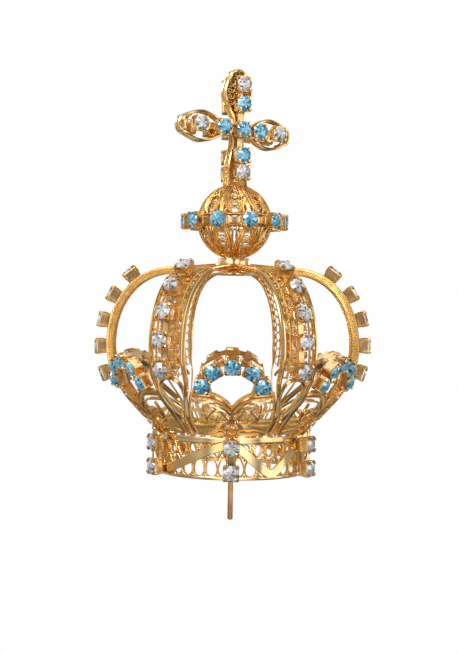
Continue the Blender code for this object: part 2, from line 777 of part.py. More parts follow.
        chain = self.add(name, stone_chain([seat(math.pi / 2.0, reach) for reach in CROSS_UPRIGHT_STONES]),
                         self.blue)
        for label, angle, reaches in (("right", CROSS_DROOP, CROSS_RIGHT_STONES),
                                      ("left", math.pi + CROSS_DROOP, CROSS_LEFT_STONES)):
            arm = [seat(angle, reach, CROSS_ARM_LIFT) for reach in (0.0, *reaches)]
            link = stone_chain(arm, bare_start=True)
            guide = bpy.data.objects.new(f"{name}_{label}", mesh_from(f"{name}_{label}", link))
            hide_guide(guide, self.guides)
            boolean(chain, guide, "UNION")

    def bridge(self):
        """The bar across the inside of the band, from front to back."""
        bpy.ops.mesh.primitive_cube_add(size=1.0)
        bar = bpy.context.object
        bar.name = "pin_bridge"
        span = 2.0 * (math.sqrt((BAND_RADIUS - BAND_WALL - GAP) ** 2 - (BRIDGE_WIDTH / 2.0) ** 2)
                      - BAND_LOOP_SINK)
        bar.data.transform(Matrix.Diagonal((BRIDGE_WIDTH, span, BRIDGE_THICKNESS, 1.0)))
        bar.data.transform(Matrix.Translation((0.0, 0.0, BRIDGE_Z + BRIDGE_THICKNESS / 2.0)))
        for group in list(bar.users_collection):
            group.objects.unlink(bar)
        self.pieces.objects.link(bar)
        bar.data.materials.append(self.polished)

    def pin(self):
        """The fixing pin, flared where it is soldered to the bridge."""
        top = BRIDGE_Z - GAP
        profile = ((0.0, top), (PIN_ROOT_RADIUS, top), (PIN_ROOT_RADIUS, top - PIN_RADIUS * 0.5),
                   (PIN_RADIUS, top - PIN_RADIUS * 2.5), (PIN_RADIUS, -PIN_LENGTH),
                   (0.0, -PIN_LENGTH))
        pin = turned("fixing_pin", profile, PIN_SIDES)
        self.pieces.objects.link(pin)
        pin.data.materials.append(self.pin_metal)


def main():
    """Build the crown in an empty scene."""
    empty_scene()
    Crown().build()


main()
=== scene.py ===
"""Dresses a small filigree crown: wirework, polished ribbons, box settings, cut stones and finishes.

The crown stands upright on the Z axis and its front faces -Y. Sizes are in metres. An azimuth is an
angle round the Z axis from the front, positive towards +X. Every surface is worked out as a grid of
points, with a profile carried along a path or a path laid on a surface.
"""

from __future__ import annotations

import logging
import math
from dataclasses import dataclass, field
from enum import Enum
from typing import Callable

import bpy
import numpy as np
from mathutils import Matrix, Vector

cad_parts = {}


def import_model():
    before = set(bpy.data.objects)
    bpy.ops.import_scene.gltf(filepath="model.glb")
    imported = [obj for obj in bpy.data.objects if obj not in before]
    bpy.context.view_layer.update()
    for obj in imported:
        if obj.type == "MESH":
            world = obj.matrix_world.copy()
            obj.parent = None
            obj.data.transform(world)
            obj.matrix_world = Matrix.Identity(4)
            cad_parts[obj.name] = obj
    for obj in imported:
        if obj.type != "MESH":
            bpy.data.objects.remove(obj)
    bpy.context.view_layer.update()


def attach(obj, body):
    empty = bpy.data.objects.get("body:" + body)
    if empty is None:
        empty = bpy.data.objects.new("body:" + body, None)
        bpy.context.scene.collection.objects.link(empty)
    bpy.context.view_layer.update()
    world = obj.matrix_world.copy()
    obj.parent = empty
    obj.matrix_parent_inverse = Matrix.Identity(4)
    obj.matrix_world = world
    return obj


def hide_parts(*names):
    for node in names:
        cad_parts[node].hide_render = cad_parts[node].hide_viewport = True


LOG = logging.getLogger("crown")
BODY = "root"
MM = 0.001
UP = np.array([0.0, 0.0, 1.0])
WIREWORK, POLISHED = 0, 1
SIDES = 6
Lay = Callable[[np.ndarray, np.ndarray, np.ndarray], np.ndarray]


def direction(azimuth: np.ndarray | float) -> np.ndarray:
    """Give the horizontal unit vector at an azimuth: sine along X, minus cosine along Y."""
    azimuth = np.asarray(azimuth, dtype=float)
    return np.stack([np.sin(azimuth), -np.cos(azimuth), np.zeros_like(azimuth)], axis=-1)


def sideways(azimuth: np.ndarray | float) -> np.ndarray:
    """Give the horizontal unit vector along the band at an azimuth."""
    azimuth = np.asarray(azimuth, dtype=float)
    return np.stack([np.cos(azimuth), np.sin(azimuth), np.zeros_like(azimuth)], axis=-1)


def ease(value: np.ndarray | float) -> np.ndarray:
    """Ease from 0 to 1 as three squares less two cubes."""
    share = np.clip(value, 0.0, 1.0)
    return share * share * (3.0 - 2.0 * share)


def unit(vectors: np.ndarray) -> np.ndarray:
    """Scale vectors to length one."""
    return vectors / np.maximum(np.linalg.norm(vectors, axis=-1, keepdims=True), 1e-12)


def ring_angles(count: int) -> np.ndarray:
    """Give even angles round a whole turn, the last one short of the first."""
    return np.linspace(0.0, math.tau, count, endpoint=False)


def circle(count: int) -> np.ndarray:
    """Give the points of a circle of radius one: cosine across, sine along."""
    turn = ring_angles(count)
    return np.stack([np.cos(turn), np.sin(turn)], axis=-1)


def chances(order: np.ndarray, seed: float) -> np.ndarray:
    """Give steady pseudo-random shares: the tail of a large multiple of a sine of each number."""
    return np.modf(np.abs(np.sin(order * 12.9898 + seed)) * 43758.5453)[0]


def alternate(count: int) -> np.ndarray:
    """Give one and minus one by turns."""
    return np.where(np.arange(count) % 2 == 0, 1.0, -1.0)


def corner_axes(angle: float) -> tuple[np.ndarray, np.ndarray]:
    """Give the flat directions out and aside at an angle."""
    out = np.array([math.cos(angle), math.sin(angle)])
    return out, np.array([-out[1], out[0]])


class Mesh:
    """Gathers grids of points into one mesh.

    Args:
        name: the piece's name.
    """

    def __init__(self, name: str) -> None:
        self.name = name
        self.points: list[np.ndarray] = []
        self.faces: list[list[int]] = []
        self.finish: list[int] = []
        self.runs: list[np.ndarray] = []
        self.reflection_tones: list[float] = []
        self.count = 0

    def bars(self, grid: np.ndarray, loop: bool = False, finish: int = WIREWORK) -> None:
        """Add bars whose cross section is a closed ring.

        Args:
            grid: points as bars, stations along each bar, and places round its section.
            loop: whether each bar's last station joins its first.
            finish: the material slot of the faces.
        """
        bars, stations, sides, _ = grid.shape
        index = self.count + np.arange(bars * stations * sides).reshape(bars, stations, sides)
        ahead = np.roll(index, -1, axis=1) if loop else index[:, 1:]
        here = index if loop else index[:, :-1]
        quads = np.stack([here, np.roll(here, -1, axis=2), np.roll(ahead, -1, axis=2), ahead], axis=-1)
        self.faces += quads.reshape(-1, 4).tolist()
        added = quads.reshape(-1, 4).shape[0]
        if not loop:
            caps = np.concatenate([index[:, 0, ::-1], index[:, -1, :]])
            self.faces += caps.tolist()
            added += len(caps)
        steps = np.linalg.norm(np.diff(grid[:, :, 0], axis=1), axis=-1)
        run = np.concatenate([np.zeros((bars, 1)), np.cumsum(steps, axis=1)], axis=1)
        self._keep(grid, np.repeat(run[:, :, None], sides, axis=2), finish, added)

    def shell(self, grid: np.ndarray, finish: int = WIREWORK) -> None:
        """Add a closed form of rings, flat at its first and last ring.

        Args:
            grid: points as rings and places round them, in order up the form.
            finish: the material slot of the faces.
        """
        self.bars(grid[None], finish=finish)

    def facets(self, points: np.ndarray, faces: list[tuple[int, ...]], reflection_tones: list[float],
               finish: int) -> None:
        """Add one form whose every facet has its own painted reflection tone."""
        self.faces += [[corner + self.count for corner in face] for face in faces]
        self._keep(points, np.zeros(len(points)), finish, len(faces))
        self.reflection_tones += reflection_tones

    def polygons(self, points: np.ndarray, faces: np.ndarray) -> None:
        """Add copies of one small form.

        Args:
            points: the corners of each copy.
            faces: the corner numbers of the faces of one copy.
        """
        copies, corners, _ = points.shape
        shift = self.count + np.arange(copies)[:, None, None] * corners
        self.faces += (faces[None] + shift).reshape(-1, faces.shape[1]).tolist()
        self._keep(points, np.zeros(points.shape[:2]), WIREWORK, copies * len(faces))

    def _keep(self, points: np.ndarray, run: np.ndarray, finish: int, added: int) -> None:
        """Store points, their distance along their bar and their faces' finish."""
        self.points.append(points.reshape(-1, 3))
        self.runs.append(run.reshape(-1))
        self.finish += [finish] * added
        self.count += self.points[-1].shape[0]

    def piece(self, materials: list[bpy.types.Material], sharp: float = 40.0) -> bpy.types.Object:
        """Make the object.

        Args:
            materials: the materials of the slots, in order.
            sharp: the angle in degrees past which an edge stays sharp; 0 leaves every facet flat.

        Returns:
            The object, at the origin, with its place in its mesh.
        """
        mesh = bpy.data.meshes.new(self.name)
        mesh.from_pydata(np.concatenate(self.points).tolist(), [], self.faces)
        mesh.polygons.foreach_set("material_index", np.array(self.finish, dtype=np.int32))
        run = mesh.attributes.new("run", "FLOAT", "POINT")
        run.data.foreach_set("value", np.concatenate(self.runs).astype(np.float32))
        # The "tone" attribute holds each facet's painted reflection, which the stone material reads.
        if self.reflection_tones:
            tone = mesh.attributes.new("tone", "FLOAT", "FACE")
            tone.data.foreach_set("value", np.array(self.reflection_tones, dtype=np.float32))
        for material in materials:
            mesh.materials.append(material)
        if sharp > 0.0:
            mesh.shade_smooth()
            mesh.set_sharp_from_angle(angle=math.radians(sharp))
        mesh.validate()
        item = bpy.data.objects.new(self.name, mesh)
        bpy.context.scene.collection.objects.link(item)
        return item


def section(width: float, low: float, high: float) -> np.ndarray:
    """Give a flat wire's section, set on edge with a rounded crest, as places aside and up."""
    half = width / 2.0
    crest = high - half * 0.7
    return np.array([(-half, low), (half, low), (half, crest), (0.0, high), (-half, crest)])


def lay_wires(mesh: Mesh, lay: Lay, paths: np.ndarray, width: float, low: float, high: float,
              loop: bool = False, finish: int = WIREWORK) -> None:
    """Lay flat wires, set on edge, along paths drawn on a surface.

    The section's places aside are measured across the path in the drawing, and its places up
    along the surface's normal.

    Args:
        mesh: where the wires go.
        lay: takes across, along and up, and gives points in space.
        paths: wires, stations and places across and along.
        width: the wire's thickness.
        low: the height of its foot.
        high: the height of its crest.
        loop: whether each wire is closed.
        finish: the material slot.
    """
    if loop:
        ahead = np.roll(paths, -1, axis=1) - np.roll(paths, 1, axis=1)
    else:
        ahead = np.gradient(paths, axis=1)
    ahead = unit(ahead)
    aside = np.stack([-ahead[..., 1], ahead[..., 0]], axis=-1)
    shape = section(width, low, high)
    places = paths[:, :, None, :] + aside[:, :, None, :] * shape[None, None, :, :1]
    up = np.broadcast_to(shape[None, None, :, 1], places.shape[:3])
    mesh.bars(lay(places[..., 0], places[..., 1], up)[:, :, ::-1], loop=loop, finish=finish)


def lay_ribbons(mesh: Mesh, lay: Lay, paths: np.ndarray, width: float, low: float, high: float,
                finish: int, loop: bool = False) -> None:
    """Lay ribbons whose thickness stays true in space, whatever unit their drawing has.

    The normal runs from the surface to the same place lifted a little, and a ribbon's side is
    the normal crossed with its way.

    Args:
        mesh: where the ribbons go.
        lay: takes across, along and up, and gives points in space.
        paths: ribbons, stations and places across and along.
        width: the ribbon's thickness.
        low: the height of its foot.
        high: the height of its crest.
        finish: the material slot.
        loop: whether each ribbon is closed.
    """
    middle = lay(paths[..., 0], paths[..., 1], np.zeros(paths.shape[:2]))
    lifted = lay(paths[..., 0], paths[..., 1], np.full(paths.shape[:2], 0.1 * MM))
    normal = unit(lifted - middle)
    ahead = np.roll(middle, -1, 1) - np.roll(middle, 1, 1) if loop else np.gradient(middle, axis=1)
    aside = unit(np.cross(normal, unit(ahead)))
    shape = section(width, low, high)
    grid = (middle[:, :, None] + aside[:, :, None] * shape[None, None, :, :1]
            + normal[:, :, None] * shape[None, None, :, 1:])
    mesh.bars(grid[:, :, ::-1], loop=loop, finish=finish)


def round_wires(mesh: Mesh, paths: np.ndarray, radius: float, sides: int, finish: int = WIREWORK) -> None:
    """Carry a round section along paths in space, turned by a steady reference direction.

    Args:
        mesh: where the wires go.
        paths: wires, stations and coordinates.
        radius: the wire's radius.
        sides: how many sides its section has.
        finish: the material slot.
    """
    ahead = unit(np.gradient(paths, axis=1))
    spread = np.ptp(ahead.reshape(-1, 3), axis=0)
    steady = np.zeros(3)
    steady[int(np.argmin(np.abs(ahead).reshape(-1, 3).max(axis=0) + 0.01 * spread))] = 1.0
    aside = unit(np.cross(ahead, steady))
    over = np.cross(aside, ahead)
    turn = np.arange(sides) * math.tau / sides
    ring = (aside[:, :, None] * np.cos(turn)[None, None, :, None]
            + over[:, :, None] * np.sin(turn)[None, None, :, None])
    mesh.bars(paths[:, :, None] + ring * radius, finish=finish)


def split_ball(corners: np.ndarray, faces: np.ndarray) -> tuple[np.ndarray, np.ndarray]:
    """Split each face of a ball in four and push the new corners out to the ball."""
    points = [tuple(corner) for corner in corners]
    lookup: dict[tuple[int, int], int] = {}

    def middle(first: int, second: int) -> int:
        """Find or make the corner halfway between two corners."""
        key = (min(first, second), max(first, second))
        if key not in lookup:
            centre = np.array(points[first]) + np.array(points[second])
            points.append(tuple(centre / np.linalg.norm(centre)))
            lookup[key] = len(points) - 1
        return lookup[key]

    split: list[tuple[int, int, int]] = []
    for one, two, three in faces.tolist():
        near, far, last = middle(one, two), middle(two, three), middle(three, one)
        split += [(one, near, last), (near, two, far), (last, far, three), (near, far, last)]
    return np.array(points), np.array(split)


EIGHT_FACES = np.array([(0, 2, 4), (2, 1, 4), (1, 3, 4), (3, 0, 4),
                        (2, 0, 5), (1, 2, 5), (3, 1, 5), (0, 3, 5)])
SIX_CORNERS = np.array([(1.0, 0.0, 0.0), (-1.0, 0.0, 0.0), (0.0, 1.0, 0.0),
                        (0.0, -1.0, 0.0), (0.0, 0.0, 1.0), (0.0, 0.0, -1.0)])
BEAD_CORNERS, BEAD_FACES = split_ball(SIX_CORNERS, EIGHT_FACES)


def beads(mesh: Mesh, places: np.ndarray, radius: float) -> None:
    """Add small solder balls at places in space."""
    mesh.polygons(places.reshape(-1, 1, 3) + BEAD_CORNERS[None] * radius, BEAD_FACES)


def spiral(turns: float, inner: float, outer: float, count: int = 34) -> np.ndarray:
    """Draw a spiral: the radius grows evenly from inner to outer as the angle runs on."""
    share = np.linspace(0.0, 1.0, count)
    angle = share * turns * math.tau
    radius = inner + (outer - inner) * share
    return np.stack([radius * np.cos(angle), radius * np.sin(angle)], axis=-1)


def turned(points: np.ndarray, angle: np.ndarray | float) -> np.ndarray:
    """Turn flat points about the origin."""
    cosine, sine = np.cos(angle), np.sin(angle)
    return np.stack([points[..., 0] * cosine - points[..., 1] * sine,
                     points[..., 0] * sine + points[..., 1] * cosine], axis=-1)


def place_paths(shape: np.ndarray, centres: np.ndarray, sizes: np.ndarray, turns: np.ndarray,
                flips: np.ndarray) -> np.ndarray:
    """Copy a drawn shape to many centres, each with its own size, turn and mirroring."""
    flipped = shape[None] * np.stack([flips, np.ones_like(flips)], axis=-1)[:, None]
    return centres[:, None] + turned(flipped, turns[:, None]) * sizes[:, None, None]


def grey(level: float) -> tuple[float, float, float, float]:
    """Give a neutral colour of a level in linear light."""
    return (level, level, level, 1.0)


class Hue(Enum):
    """Base colours of the finishes, in linear light."""

    FILIGREE = (1.0, 0.68, 0.26, 1.0)
    FILIGREE_DEEP = (0.94, 0.52, 0.13, 1.0)
    POLISHED = (0.96, 0.69, 0.34, 1.0)
    POLISHED_DEEP = (0.80, 0.52, 0.20, 1.0)
    CUP = (0.97, 0.68, 0.34, 1.0)
    CUP_DEEP = (0.58, 0.37, 0.16, 1.0)
    PIN = (0.80, 0.45, 0.20, 1.0)
    PIN_DEEP = (0.66, 0.33, 0.13, 1.0)


@dataclass(frozen=True)
class GoldFinish:
    """Gold plate over brass: it darkens in patches, and its wire may be notched.

    Args:
        name: the material's name.
        bright: the plate's colour.
        deep: its colour where it is thin or toned.
        roughness: how soft its reflections are.
        patch: the size of the toned patches.
        grain: how strong the fine hammered grain is.
        notches: how strong the notches across the wire are.
    """

    name: str
    bright: Hue
    deep: Hue
    roughness: float
    patch: float
    grain: float
    notches: float = 0.0

    def make(self) -> bpy.types.Material:
        """Build the material from noise on Object coordinates and the wire's own run."""
        material = bpy.data.materials.new(self.name)
        material.use_nodes = True
        tree = material.node_tree
        nodes, links = tree.nodes, tree.links
        shader = nodes["Principled BSDF"]
        shader.inputs["Metallic"].default_value = 1.0
        place = nodes.new("ShaderNodeTexCoord")
        tone = nodes.new("ShaderNodeTexNoise")
        tone.inputs["Scale"].default_value = 1.0 / self.patch
        tone.inputs["Detail"].default_value = 3.0
        links.new(place.outputs["Object"], tone.inputs["Vector"])
        ramp = nodes.new("ShaderNodeValToRGB")
        ramp.color_ramp.elements[0].position = 0.36
        ramp.color_ramp.elements[0].color = self.deep.value
        ramp.color_ramp.elements[1].position = 0.56
        ramp.color_ramp.elements[1].color = self.bright.value
        links.new(tone.outputs["Fac"], ramp.inputs["Fac"])
        links.new(ramp.outputs["Color"], shader.inputs["Base Color"])
        gloss = nodes.new("ShaderNodeMapRange")
        gloss.inputs["To Min"].default_value = self.roughness * 1.45
        gloss.inputs["To Max"].default_value = self.roughness * 0.7
        links.new(tone.outputs["Fac"], gloss.inputs["Value"])
        links.new(gloss.outputs["Result"], shader.inputs["Roughness"])
        grain = nodes.new("ShaderNodeTexNoise")
        grain.inputs["Scale"].default_value = 1.0 / (0.35 * MM)
        grain.inputs["Detail"].default_value = 2.0
        links.new(place.outputs["Object"], grain.inputs["Vector"])
        bump = nodes.new("ShaderNodeBump")
        bump.inputs["Strength"].default_value = self.grain
        bump.inputs["Distance"].default_value = 0.05 * MM
        links.new(grain.outputs["Fac"], bump.inputs["Height"])
        if self.notches > 0.0:
            run = nodes.new("ShaderNodeAttribute")
            run.attribute_name = "run"
            teeth = nodes.new("ShaderNodeMath")
            teeth.operation = "MULTIPLY"
            teeth.inputs[1].default_value = math.tau / (0.30 * MM)
            wave = nodes.new("ShaderNodeMath")
            wave.operation = "SINE"
            cut = nodes.new("ShaderNodeBump")
            cut.inputs["Strength"].default_value = self.notches
            cut.inputs["Distance"].default_value = 0.05 * MM
            links.new(run.outputs["Fac"], teeth.inputs[0])
            links.new(teeth.outputs["Value"], wave.inputs[0])
            links.new(wave.outputs["Value"], cut.inputs["Height"])
            links.new(cut.outputs["Normal"], bump.inputs["Normal"])
        links.new(bump.outputs["Normal"], shader.inputs["Normal"])
        return material


@dataclass(frozen=True)
class StoneFinish:
    """A cut stone with foil behind it, whose facets carry painted reflections: each facet turns from pale
    to dark by the tone painted on it.

    Args:
        name: the material's name.
        dark: the painted dark reflection of the facets that look into the stone.
        middle: the stone's own colour.
        light: the painted highlight of the facets that catch the light.
        flash: the painted glint of the few that flash.
    """

    name: str
    dark: tuple[float, float, float, float]
    middle: tuple[float, float, float, float]
    light: tuple[float, float, float, float]
    flash: tuple[float, float, float, float]

    def make(self) -> bpy.types.Material:
        """Build the material from the painted reflection tone that each facet carries."""
        material = bpy.data.materials.new(self.name)
        material.use_nodes = True
        tree = material.node_tree
        nodes, links = tree.nodes, tree.links
        shader = nodes["Principled BSDF"]
        shader.inputs["Roughness"].default_value = 0.03
        shader.inputs["IOR"].default_value = 1.6
        shader.inputs["Coat Weight"].default_value = 0.35
        shader.inputs["Coat Roughness"].default_value = 0.02
        shader.inputs["Metallic"].default_value = 0.20
        tone = nodes.new("ShaderNodeAttribute")
        tone.attribute_name = "tone"
        ramp = nodes.new("ShaderNodeValToRGB")
        ramp.color_ramp.interpolation = "CONSTANT"
        # The ramp paints the facets' reflections: painted dark reflection, the stone's own colour, painted
        # highlight and painted glint.
        steps = ((0.0, self.dark), (0.30, self.middle), (0.56, self.light), (0.80, self.flash))
        ramp.color_ramp.elements[0].color = steps[0][1]
        ramp.color_ramp.elements[1].position = steps[1][0]
        ramp.color_ramp.elements[1].color = steps[1][1]
        for position, colour in steps[2:]:
            ramp.color_ramp.elements.new(position).color = colour
        links.new(tone.outputs["Fac"], ramp.inputs["Fac"])
        links.new(ramp.outputs["Color"], shader.inputs["Base Color"])
        return material


@dataclass
class Finishes:
    """Every material of the crown."""

    filigree: bpy.types.Material = field(default_factory=lambda: GoldFinish(
        "filigree_wire", Hue.FILIGREE, Hue.FILIGREE_DEEP, 0.26, 1.6 * MM, 0.35, 0.5).make())
    granules: bpy.types.Material = field(default_factory=lambda: GoldFinish(
        "granulated_wire", Hue.FILIGREE, Hue.FILIGREE_DEEP, 0.34, 1.1 * MM, 0.7, 0.8).make())
    polished: bpy.types.Material = field(default_factory=lambda: GoldFinish(
        "polished_gold", Hue.POLISHED, Hue.POLISHED_DEEP, 0.13, 5.0 * MM, 0.10).make())
    cup: bpy.types.Material = field(default_factory=lambda: GoldFinish(
        "setting_gold", Hue.CUP, Hue.CUP_DEEP, 0.20, 1.9 * MM, 0.15).make())
    pin: bpy.types.Material = field(default_factory=lambda: GoldFinish(
        "pin_metal", Hue.PIN, Hue.PIN_DEEP, 0.38, 3.0 * MM, 0.4).make())
    # Each stone's colours run from a painted dark reflection through the stone's own colour to a painted
    # highlight and a painted glint.
    clear: bpy.types.Material = field(default_factory=lambda: StoneFinish(
        "clear_stone", (0.17, 0.13, 0.12, 1.0), (0.46, 0.42, 0.41, 1.0), (0.76, 0.74, 0.74, 1.0),
        grey(0.88)).make())
    blue: bpy.types.Material = field(default_factory=lambda: StoneFinish(
        "blue_stone", (0.02, 0.11, 0.20, 1.0), (0.09, 0.34, 0.52, 1.0), (0.26, 0.62, 0.78, 1.0),
        (0.72, 0.92, 1.0, 1.0)).make())


@dataclass
class CageOutline:
    """The outline of the arches in radius and height, read by its arc length."""

    band_radius: float = 14.7 * MM
    band_height: float = 8.0 * MM
    gap: float = 0.25 * MM
    foot_flare: float = 0.6 * MM
    cage_radius: float = 25.0 * MM
    bulge_z: float = 25.0 * MM
    shoulder_radius: float = 12.2 * MM
    shoulder_z: float = 40.6 * MM
    crown_z: float = 41.3 * MM
    collar_radius: float = 3.3 * MM
    samples: int = 240

    def __post_init__(self) -> None:
        """Sample two cubic curves and the flat run to the collar, and sum their length."""
        foot_radius = self.band_radius + self.foot_flare
        foot_z = self.band_height + self.gap
        rise, spread = self.bulge_z - foot_z, self.cage_radius - foot_radius
        climb, draw = self.shoulder_z - self.bulge_z, self.cage_radius - self.shoulder_radius
        lower = np.array([(foot_radius, foot_z),
                          (foot_radius + 0.26 * spread, foot_z + 0.17 * rise),
                          (self.cage_radius, self.bulge_z - 0.47 * rise),
                          (self.cage_radius, self.bulge_z)])
        upper = np.array([(self.cage_radius, self.bulge_z),
                          (self.cage_radius, self.bulge_z + 0.51 * climb),
                          (self.shoulder_radius + 0.65 * draw, self.shoulder_z - 0.02 * climb),
                          (self.shoulder_radius, self.shoulder_z)])
        share = np.linspace(0.0, 1.0, self.samples)[:, None]
        weights = np.concatenate([(1 - share) ** 3, 3 * share * (1 - share) ** 2,
                                  3 * share ** 2 * (1 - share), share ** 3], axis=1)
        end = np.array([[self.collar_radius + self.gap, self.crown_z]])
        self.points = np.concatenate([weights @ lower, (weights @ upper)[1:], end])
        steps = np.linalg.norm(np.diff(self.points, axis=0), axis=1)
        self.lengths = np.concatenate([[0.0], np.cumsum(steps)])
        self.total = float(self.lengths[-1])

    def at(self, length: np.ndarray | float) -> np.ndarray:
        """Give radius and height at arc lengths."""
        return np.stack([np.interp(length, self.lengths, self.points[:, 0]),
                         np.interp(length, self.lengths, self.points[:, 1])], axis=-1)

    def normal(self, length: np.ndarray | float) -> np.ndarray:
        """Give the outward normal in radius and height at arc lengths."""
        step = self.total / 200.0
        ahead = unit(self.at(np.asarray(length) + step) - self.at(np.asarray(length) - step))
        return np.stack([ahead[..., 1], -ahead[..., 0]], axis=-1)

    def length_at_height(self, z: np.ndarray | float) -> np.ndarray:
        """Give the arc length at which the outline reaches a height."""
        return np.interp(z, self.points[:, 1], self.lengths)


@dataclass
class Seat:
    """Where a stone's setting stands: the middle of its base, its strip's run and its axis."""

    place: np.ndarray
    run: np.ndarray
    axis: np.ndarray
    blue: bool = False

    def frame(self) -> np.ndarray:
        """Give the rows run, side and axis."""
        run, axis = unit(self.run), unit(self.axis)
        return np.stack([run, np.cross(axis, run), axis])


@dataclass
class StoneSettings:
    """A row of box settings with four claws each, the strip under them and their cut stones."""

    cup_width: float = 3.1 * MM
    base_width: float = 2.7 * MM
    cup_depth: float = 2.0 * MM
    strip: float = 0.3 * MM
    strip_width: float = 1.1 * MM
    wall: float = 0.22 * MM
    window: float = 0.13 * MM
    stone_radius: float = 1.55 * MM
    claw: float = 0.44 * MM

    def cup(self) -> np.ndarray:
        """Give the box's rings: a square with a sunk window in each side, open at the rim."""
        side = ((-0.90, 0.0), (-0.60, 0.0), (-0.52, 1.0), (0.52, 1.0), (0.60, 0.0), (0.90, 0.0))
        outline = []
        for turn in range(4):
            angle = math.tau * turn / 4.0
            out, along = corner_axes(angle)
            outline += [(*(out + along * place), window) for place, window in side]
        ring = np.array(outline)
        foot, rim = self.base_width / 2.0, self.cup_width / 2.0
        top = self.strip + self.cup_depth
        levels = ((foot * 0.80, 0.05, 0.0), (foot, 0.14, 0.0), (foot * 1.03, 0.25, 0.0),
                  (foot * 1.04, 0.30, 1.0), (rim * 0.96, 0.72, 1.0), (rim * 0.97, 0.77, 0.0),
                  (rim, 0.92, 0.0), (rim * 0.98, 0.96, 0.0), (rim - self.wall, 0.96, 0.0),
                  (rim - self.wall, 0.70, 0.0))
        rings = []
        for size, share, sunk in levels:
            inward = np.where(ring[:, 2] > 0.5, self.window * sunk, 0.0)
            flat = ring[:, :2] * size
            reach = np.abs(flat) >= np.abs(flat).max(axis=1, keepdims=True) - 1e-9
            flat = flat - np.sign(flat) * reach * inward[:, None]
            rings.append(np.concatenate([flat, np.full((len(ring), 1), top * share)], axis=1))
        return np.stack(rings)

    def claws(self) -> np.ndarray:
        """Give four claws: flat tongues that rise at the corners and fold in over the stone."""
        rim, top = self.cup_width / 2.0, self.strip + self.cup_depth
        path = ((rim * 1.22, top * 0.50), (rim * 1.27, top * 0.86), (rim * 1.24, top * 1.05),
                (rim * 1.08, top * 1.16), (rim * 0.86, top * 1.17))
        half = np.array([0.62, 0.66, 0.66, 0.62, 0.46]) * self.claw
        thick = self.wall
        claws = []
        for corner in range(4):
            angle = math.tau * (corner + 0.5) / 4.0
            out, side = corner_axes(angle)
            rings = []
            for (reach, z), width in zip(path, half):
                inner = max(reach - thick, 0.0)
                lift = thick if reach < rim * 1.1 else 0.0
                low, high = out * inner, out * reach
                rings.append([(*(low - side * width), z - lift), (*(low + side * width), z - lift),
                              (*(high + side * width), z), (*(high - side * width), z)])
            claws.append(rings)
        return np.array(claws)

    def stone(self) -> tuple[np.ndarray, list[tuple[int, ...]], np.ndarray]:
        """Give a round brilliant's corners, facets and the bearing of each facet.

        The table is split in sixteen wedges, because the facets under it show through.
        """
        top = self.strip + self.cup_depth
        eighth, sixteenth = np.arange(8) * math.tau / 8, np.arange(16) * math.tau / 16

        def ring(angles: np.ndarray, radius: float, z: float) -> np.ndarray:
            """Give a level ring of corners."""
            return np.stack([np.cos(angles) * radius, np.sin(angles) * radius,
                             np.full_like(angles, z)], axis=-1)

        table = ring(sixteenth, self.stone_radius * 0.54, top * 1.19)
        table[1::2] *= np.array([0.93, 0.93, 1.0])
        kite = ring(eighth + math.tau / 16, self.stone_radius * 0.80, top * 1.11)
        girdle = ring(sixteenth, self.stone_radius, top * 0.99)
        foot = ring(sixteenth, self.stone_radius * 0.97, top * 0.86)
        heart = np.array([[0.0, 0.0, top * 1.19]])
        points = np.concatenate([table, kite, girdle, foot, heart])
        faces: list[tuple[int, ...]] = [tuple(range(55, 39, -1))]
        faces += [(index, (index + 1) % 16, 56) for index in range(16)]
        for index in range(8):
            near, far = 2 * index, (2 * index + 2) % 16
            faces += [(near, 16 + index, near + 1), (near + 1, 16 + index, far),
                      (near, 24 + near, 16 + index), (far, 16 + index, 24 + far),
                      (16 + index, 24 + near, 24 + near + 1), (16 + index, 24 + near + 1, 24 + far)]
        faces += [(24 + index, 40 + index, 40 + (index + 1) % 16, 24 + (index + 1) % 16)
                  for index in range(16)]
        centres = np.array([points[list(face)].mean(axis=0) for face in faces])
        return points, faces, np.arctan2(centres[:, 1], centres[:, 0])

    def reflection_tones(self, bearings: np.ndarray, number: int, spin: float) -> list[float]:
        """Give each facet a painted reflection tone: painted bright and dark wedges take turns, and one
        side is painted lighter.
        """
        chance = chances(np.arange(len(bearings)), number * 78.233)
        # Painted reflection: a wedge pattern and a painted lighter side, mixed with a random share.
        wedge = 0.5 + 0.5 * np.cos(5.0 * (bearings + spin) + number)
        side = 0.5 + 0.5 * np.cos(bearings - 2.3 * number)
        return np.clip(0.30 * wedge + 0.24 * side + 0.54 * chance, 0.0, 0.99).tolist()

    def dress(self, node: str, seats: list[Seat], finishes: Finishes, loop: bool = False,
              chains: list[list[int]] | None = None) -> None:
        """Make the settings and stones that stand for one node.

        Args:
            node: the node they replace.
            seats: where the stones sit.
            finishes: the materials.
            loop: whether the strip is closed.
            chains: runs of seat numbers that a strip links, or None for one run of them all.
        """
        settings, stones = Mesh(f"{node}_settings"), Mesh(f"{node}_cut")
        cup, claws, (stone, facets, bearings) = self.cup(), self.claws(), self.stone()
        for number, seat in enumerate(seats):
            frame = seat.frame()
            settings.shell(cup @ frame + seat.place)
            settings.bars(claws @ frame + seat.place, finish=POLISHED)
            spin = 0.35 * math.sin(3.7 * number + 1.0)
            turn = np.array([(math.cos(spin), math.sin(spin), 0.0), (-math.sin(spin), math.cos(spin), 0.0),
                             (0.0, 0.0, 1.0)])
            placed = (stone @ turn) @ frame + seat.place
            stones.facets(placed, facets, self.reflection_tones(bearings, number, spin), int(seat.blue))
        for chain in chains or [list(range(len(seats)))]:
            self._link(settings, [seats[number] for number in chain], loop)
        metal = settings.piece([finishes.cup, finishes.polished], sharp=30.0)
        cut = stones.piece([finishes.clear, finishes.blue], sharp=0.0)
        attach(metal, BODY)
        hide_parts(node)
        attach(cut, BODY)

